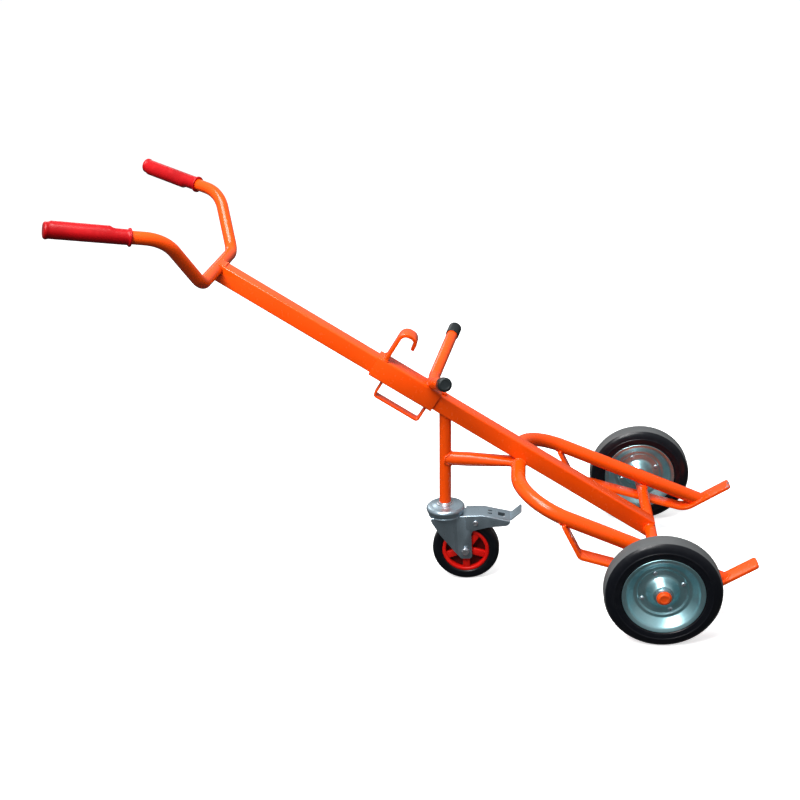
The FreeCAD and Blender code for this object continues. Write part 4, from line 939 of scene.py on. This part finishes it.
# ---------------------------------------------------------------------------------------------
# Strap handle: 25 by 5 mm flat strip bent to a U and welded under the sleeve, with the weld beads
# of the whole carriage.
strap_width, strap_thickness, strap_depth, strap_length = 25.0, 5.0, 44.0, 121.0
strap_low = carriage_rest + 10.0 + strap_thickness / 2
strap_high = strap_low + strap_length - strap_thickness
strap_seat, strap_floor = -sleeve_half - 0.1, -sleeve_half - strap_depth + strap_thickness / 2
strap_line = [on_spine(strap_low, strap_seat, 0), on_spine(strap_low, strap_floor, 0),
              on_spine(strap_high, strap_floor, 0), on_spine(strap_high, strap_seat, 0)]
strap = bmesh.new()
first = square_ring(strap, strap_line[0], -off_spine, across, strap_width * mm, strap_thickness * mm)
draw_out(strap, first, strap_line, [6.0, 6.0], 9.0)
bmesh.ops.holes_fill(strap, edges=strap.edges, sides=0)
soften(strap, 0.9, 3, over=40.0)
make_piece("strap", strap, "carriage", orange_paint, ("strap_handle",))

beads = bmesh.new()
for along, lift, long, wide in ((hook_leg, sleeve_half, hook_thickness, hook_width - 1.5),
                                (strap_low, -sleeve_half, strap_thickness, strap_width),
                                (strap_high, -sleeve_half, strap_thickness, strap_width)):
    a, b = long / 2 + 1.2, wide / 2 + 0.6
    box = [on_spine(along + x, lift + 0.6 * (1 if lift > 0 else -1), y)
           for x, y in ((a, -b), (a, b), (-a, b), (-a, -b))]
    weld_bead(beads, box, 4.6, closed=True)
for way in (-1, 1):
    weld_bead(beads, [on_spine(crossbar_at + way * 7.5, sleeve_half + 1.4, y) for y in (-23, 23)], 6.5)
make_piece("carriage_weld_beads", beads, "carriage", orange_paint, sharp=60.0)

# ---------------------------------------------------------------------------------------------
# Castor top: a dished disc, 92 mm across, closed over the ball race, with a bright flanged ring
# round the foot of the post. The lower race, balls and bush inside keep their own shape.
castor_zinc = zinc_plate("castor_zinc", (0.42, 0.53, 0.60, 1.0), (0.52, 0.64, 0.72, 1.0), 0.24, 420.0)
bright_zinc = zinc_plate("bright_zinc", (0.50, 0.52, 0.56, 1.0), (0.66, 0.68, 0.72, 1.0), 0.20)
swivel_foot = Vector((-castor_setback, 0.0, 0.0)) * mm
up = Vector((0.0, 0.0, 1.0))
race = bmesh.new()
turned(race, [(6.2, 192.0), (6.2, 197.9), (23.0, 197.9, 3.0), (29.0, 195.2, 4.0), (36.0, 194.4, 3.0),
              (42.0, 193.2, 2.0), (46.0, 188.9, 2.6), (46.0, 186.2, 1.0), (43.7, 178.0, 0.5),
              (43.3, 177.4, 0.3), (41.0, 177.4), (43.0, 188.0), (6.2, 192.0)], swivel_foot, up, 96)
make_piece("castor_top", race, "frame", castor_zinc, ("upper_race",), 40.0)
collar = bmesh.new()
turned(collar, [(14.3, 197.6), (20.5, 197.6, 0.3), (20.5, 198.8, 0.5), (17.0, 199.6, 0.8),
                (15.6, 202.6, 0.8), (14.3, 203.0), (14.3, 197.6)], swivel_foot, up, 64)
make_piece("castor_collar", collar, "frame", bright_zinc, sharp=40.0)
dress(castor_zinc, "lower_race")
dress(plain_steel, "swivel_balls", "castor_bush")


# ---------------------------------------------------------------------------------------------
# Castor fork: 3 mm sheet bent down on both sides. Each leg is creased where its front edge flares
# outwards, and narrows to a rounded end round the wheel's bolt.
def sheet(bm, corners):
    """Fills a closed outline of points, each with the easing of its corner."""
    corners = corners + [corners[0]]
    middle = (corners[0][0] + corners[1][0]) / 2
    corners = [(middle, 0.0)] + corners[1:] + [(middle, 0.0)]
    line, edges = drawn_line(bm, corners)
    bmesh.ops.remove_doubles(bm, verts=line, dist=1e-6)
    edges = [e for e in edges if e.is_valid]
    bmesh.ops.dissolve_verts(bm, verts=[v for v in line if v.is_valid and (v.co - middle).length < 1e-6])
    loose = [e for e in bm.edges if not e.link_faces]
    return bmesh.ops.contextual_create(bm, geom=loose)["faces"]


wheel_x, wheel_z = -435.0, 80.0
fork_top, fork_sheet, leg_face, crease_x = 173.0, 3.0, 24.5, -452.0
joggle, joggle_run, flare_rate = 3.2, 7.0, 0.10
fork = bmesh.new()
fork_front, fork_rear = -512.0, -419.0
leg_outline = [(fork_front, fork_top, 0), (fork_front, 164, 5), (-493, 128, 8), (-450, 65, 2.5),
               (-446, 60, 2.5), (-424, 60, 2.5), (-420, 64, 2.5), (fork_rear, 128, 6), (-402, 145, 8),
               (-396, 153, 5), (-396, 164, 5), (fork_rear, fork_top, 0)]
for side in (-1, 1):
    sheet(fork, [(Vector((x, side * leg_face, z)) * mm, ease) for x, z, ease in leg_outline])
for line in (crease_x, crease_x - joggle_run):
    bmesh.ops.bisect_plane(fork, geom=list(fork.verts) + list(fork.edges) + list(fork.faces), dist=1e-7,
                           plane_co=(line * mm, 0, 0), plane_no=(1, 0, 0))
for corner in fork.verts:
    ahead = crease_x - corner.co.x / mm
    if ahead > 0:
        swung = min(ahead, joggle_run) * joggle / joggle_run + max(0, ahead - joggle_run) * flare_rate
        corner.co.y += math.copysign(swung, corner.co.y) * mm
flare = joggle + (crease_x - fork_front - joggle_run) * flare_rate
plan = [(fork_rear, leg_face), (crease_x, leg_face), (crease_x - joggle_run, leg_face + joggle),
        (fork_front, leg_face + flare)]
sheet(fork, [(Vector((x, y, fork_top)) * mm, 0) for x, y in plan + [(x, -y) for x, y in plan[::-1]]])
bmesh.ops.remove_doubles(fork, verts=fork.verts, dist=2e-5)
bmesh.ops.recalc_face_normals(fork, faces=fork.faces)
soften(fork, 3.4, 4, over=60.0)
soften(fork, 1.6, 3, over=6.0, wanted=lambda e: abs(e.verts[0].co.x - e.verts[1].co.x) < 1e-5
       and abs(e.verts[0].co.z - e.verts[1].co.z) > 0.02)
bmesh.ops.solidify(fork, geom=list(fork.faces), thickness=fork_sheet * mm)
bmesh.ops.recalc_face_normals(fork, faces=fork.faces)
soften(fork, 0.5, 2, over=60.0)
turned(fork, [(7.0, fork_top - fork_sheet), (41.4, fork_top - fork_sheet, 0.5),
              (42.0, fork_top - 2.2, 0.5), (41.4, fork_top, 0.5), (7.0, fork_top),
              (7.0, fork_top - fork_sheet)], swivel_foot, up, 64)
make_piece("fork", fork, "castor", castor_zinc, ("castor_fork",), 35.0)

# ---------------------------------------------------------------------------------------------
# Castor bolt and nut: M10, bright zinc-plated steel with 17 mm flats, on a round washer. The bolt
# goes through both legs of the fork and the wheel, and its end shows past the nut.
wheel_centre = Vector((wheel_x, 0.0, wheel_z)) * mm
washer_seat, washer_thick, bolt_length, nut_seat = 26.0, 1.4, 64.5, 26.1
bolt = bmesh.new()
turned(bolt, [(5.1, 0.05), (9.6, 0.05, 0.3), (9.6, washer_thick, 0.4), (5.1, washer_thick), (5.1, 0.05)],
       wheel_centre - across * washer_seat * mm, -across, 40)
hexagon_head(bolt, wheel_centre - across * (washer_seat + washer_thick) * mm, -across, 16.4, 4.9, 0.35)
rod(bolt, wheel_centre - across * washer_seat * mm, across * bolt_length * mm, 4.9)
soften(bolt, 0.35, 2, over=28.0)
make_piece("castor_bolt_head", bolt, "castor", bright_zinc, ("castor_bolt",), 40.0)
nut = bmesh.new()
hexagon_head(nut, wheel_centre + across * nut_seat * mm, across, 16.9, 8.2, 0.1)
soften(nut, 0.35, 2, over=28.0)
make_piece("castor_lock_nut", nut, "castor", bright_zinc, ("castor_nut",), 40.0)

# ---------------------------------------------------------------------------------------------
# Castor wheel: a black rubber tyre on a wheel moulded from red nylon, with five square ribs from
# the hub to the rim. It turns on a bush round the castor's bolt.
castor_black = tyre_rubber("castor_rubber", wheel_x * mm, wheel_z * mm, 0.0797, 0.0008, 0.8)
castor_tyre = bmesh.new()
castor_half = [(56.2, 16.5), (58.5, 18.4, 0.8), (63.0, 18.9, 1.0), (64.2, 18.3, 0.6), (71.0, 18.6, 3.0),
               (75.5, 16.6, 2.4), (79.0, 12.0, 2.4), (80.0, 7.0, 2.0)]
turned(castor_tyre, both_faces(castor_half), wheel_centre, across, 112)
make_piece("castor_tyre_ring", castor_tyre, "castor_wheel", castor_black,
           ("castor_tyre",))


def painted_pocket_shade(finish, colour):
    """Painted shade: darkens the pockets between the ribs towards the middle web, where shadow falls."""
    depth = finish.node("ShaderNodeMath", {"operation": "ABSOLUTE"}, {0: finish.along("Y")})
    pocket_shade = finish.step(depth + finish.noise(90.0, 4.0) * 0.004, 0.0065, 0.0155, 0.9, 0.0)
    return finish.mix(pocket_shade, colour, (0.014, 0.002, 0.002, 1.0))


# The red nylon's pockets between the ribs carry painted shade, not real grime.
red_nylon = moulded("red_nylon", (0.66, 0.006, 0.004, 1.0), (0.80, 0.012, 0.006, 1.0), 0.30,
                    over=painted_pocket_shade)
rib_count, rib_middle, rib_length, rib_depth, rib_width = 5, 31.8, 31.4, 32.0, 17.0
hub = bmesh.new()
hub_half = [(7.7, 20.8), (15.8, 20.8, 0.6), (17.0, 19.4, 0.8), (18.0, 2.6, 1.6), (46.2, 2.6, 1.6),
            (47.6, 17.6, 0.6), (49.4, 18.9, 0.8), (53.6, 18.9, 0.8), (55.8, 17.4, 0.4)]
turned(hub, both_faces(hub_half), wheel_centre, across, 96)
for count in range(rib_count):
    swing = Matrix.Rotation(math.radians(360.0 / rib_count * count + 90.0), 4, "Y")
    shift = Matrix.Translation(Vector((rib_middle, 0.0, 0.0)) * mm)
    block = Matrix.Diagonal((rib_length * mm, rib_depth * mm, rib_width * mm, 1.0))
    rib = bmesh.new()
    bmesh.ops.create_cube(rib, size=1.0, matrix=Matrix.Translation(wheel_centre) @ swing @ shift @ block)
    soften(rib, 1.6, 3)
    grown = bpy.data.meshes.new("rib")
    rib.to_mesh(grown)
    rib.free()
    hub.from_mesh(grown)
    bpy.data.meshes.remove(grown)
make_piece("castor_wheel_hub", hub, "castor_wheel", red_nylon, ("castor_hub",), 35.0)

# ---------------------------------------------------------------------------------------------
# Brake pedal: 2.5 mm sheet folded to a channel over the fork, hinged on two rivets. Its top has two
# slots and its end is bent up to be trodden on; a rubber shoe sits under it, over the tyre.
pedal_face, pedal_crown, pedal_fall, pedal_sheet = 28.05, 175.05, 16.0, 2.5
pedal_rear, pedal_mid, pedal_end = -430.5, -388.0, -325.0
tread_tip_x, tread_tip_z, tread_half = -297.5, 178.8, 20.8
pedal = bmesh.new()
flange_outline = [(pedal_rear, pedal_crown, 0), (pedal_mid, pedal_crown, 0),
                  (pedal_end, pedal_crown - pedal_fall, 0), (pedal_end, pedal_crown - 21, 3),
                  (pedal_end - 7, pedal_crown - 28.5, 5),
                  (pedal_mid + 12, pedal_crown - 31, 8), (pedal_rear + 13, pedal_crown - 40, 8),
                  (pedal_rear, pedal_crown - 35, 6)]
for side in (-1, 1):
    sheet(pedal, [(Vector((x, side * pedal_face, z)) * mm, ease) for x, z, ease in flange_outline])
ridge = [Vector((x, 0.0, z)) * mm for x, z in ((pedal_rear, pedal_crown), (pedal_mid, pedal_crown),
                                               (pedal_end, pedal_crown - pedal_fall))]
for start, stop in zip(ridge, ridge[1:]):
    out = across * pedal_face * mm
    sheet(pedal, [(start - out, 0), (stop - out, 0), (stop + out, 0), (start + out, 0)])
tip = Vector((tread_tip_x, 0.0, tread_tip_z)) * mm
heel = ridge[2] + Vector((2.5, 0.0, -1.4)) * mm
for start, stop, first, last, ease in ((ridge[2], heel, pedal_face - 4, tread_half + 1, 0),
                                       (heel, tip, tread_half + 1, tread_half, 4)):
    sheet(pedal, [(start - across * first * mm, 0), (stop - across * last * mm, ease),
                  (stop + across * last * mm, ease), (start + across * first * mm, 0)])
bmesh.ops.remove_doubles(pedal, verts=pedal.verts, dist=2e-5)
bmesh.ops.recalc_face_normals(pedal, faces=pedal.faces)
slots = [(pedal_mid + 10, pedal_mid + 20, -10, -4), (pedal_mid + 10, pedal_mid + 20, 4, 10),
         (pedal_mid + 34, pedal_mid + 50, -9, 9)]
lengthwise, crosswise = Vector((1.0, 0.0, 0.0)), Vector((0.0, 1.0, 0.0))


def tops_within(x0, x1, y0, y1):
    """The faces of the pedal's top whose middles lie inside a rectangle."""
    return [f for f in pedal.faces if f.normal.z ** 2 > 0.5
            and x0 * mm < f.calc_center_median().x < x1 * mm
            and y0 * mm < f.calc_center_median().y < y1 * mm]


for x0, x1, y0, y1 in slots:
    for spot, normal in ((x0, lengthwise), (x1, lengthwise), (y0, crosswise), (y1, crosswise)):
        top = tops_within(pedal_mid, pedal_end, -pedal_face, pedal_face)
        around = each_once(v for f in top for v in f.verts) + each_once(e for f in top for e in f.edges)
        bmesh.ops.bisect_plane(pedal, geom=around + top, dist=1e-7, plane_co=normal * spot * mm,
                               plane_no=normal)
    bmesh.ops.delete(pedal, geom=tops_within(x0, x1, y0, y1), context="FACES")
soften(pedal, 2.6, 4, over=60.0)
bmesh.ops.solidify(pedal, geom=list(pedal.faces), thickness=pedal_sheet * mm)
bmesh.ops.recalc_face_normals(pedal, faces=pedal.faces)
make_piece("pedal_channel", pedal, "pedal", castor_zinc, ("brake_pedal",), 35.0)

pivot = Vector((wheel_x + 28.0, 0.0, fork_top - 17.0)) * mm
pin_inside, pin_outside = 22.2, 29.8
pedal_pins = bmesh.new()
for side in (-1, 1):
    turned(pedal_pins, [(0.0, 0.0), (6.5, 0.0, 0.2), (6.5, 0.8, 0.3), (5.2, 2.0, 0.6), (3.4, 2.4, 0.3),
                        (2.8, 1.9, 0.2), (0.0, 1.9)],
           pivot + across * side * pin_outside * mm, across * side, 32)
    rod(pedal_pins, pivot + across * side * pin_inside * mm,
        across * side * (pin_outside - pin_inside) * mm, 3.9)
make_piece("pedal_rivet_heads", pedal_pins, "castor", bright_zinc, ("pedal_rivets",), 40.0)
dress(castor_black, "brake_shoe")
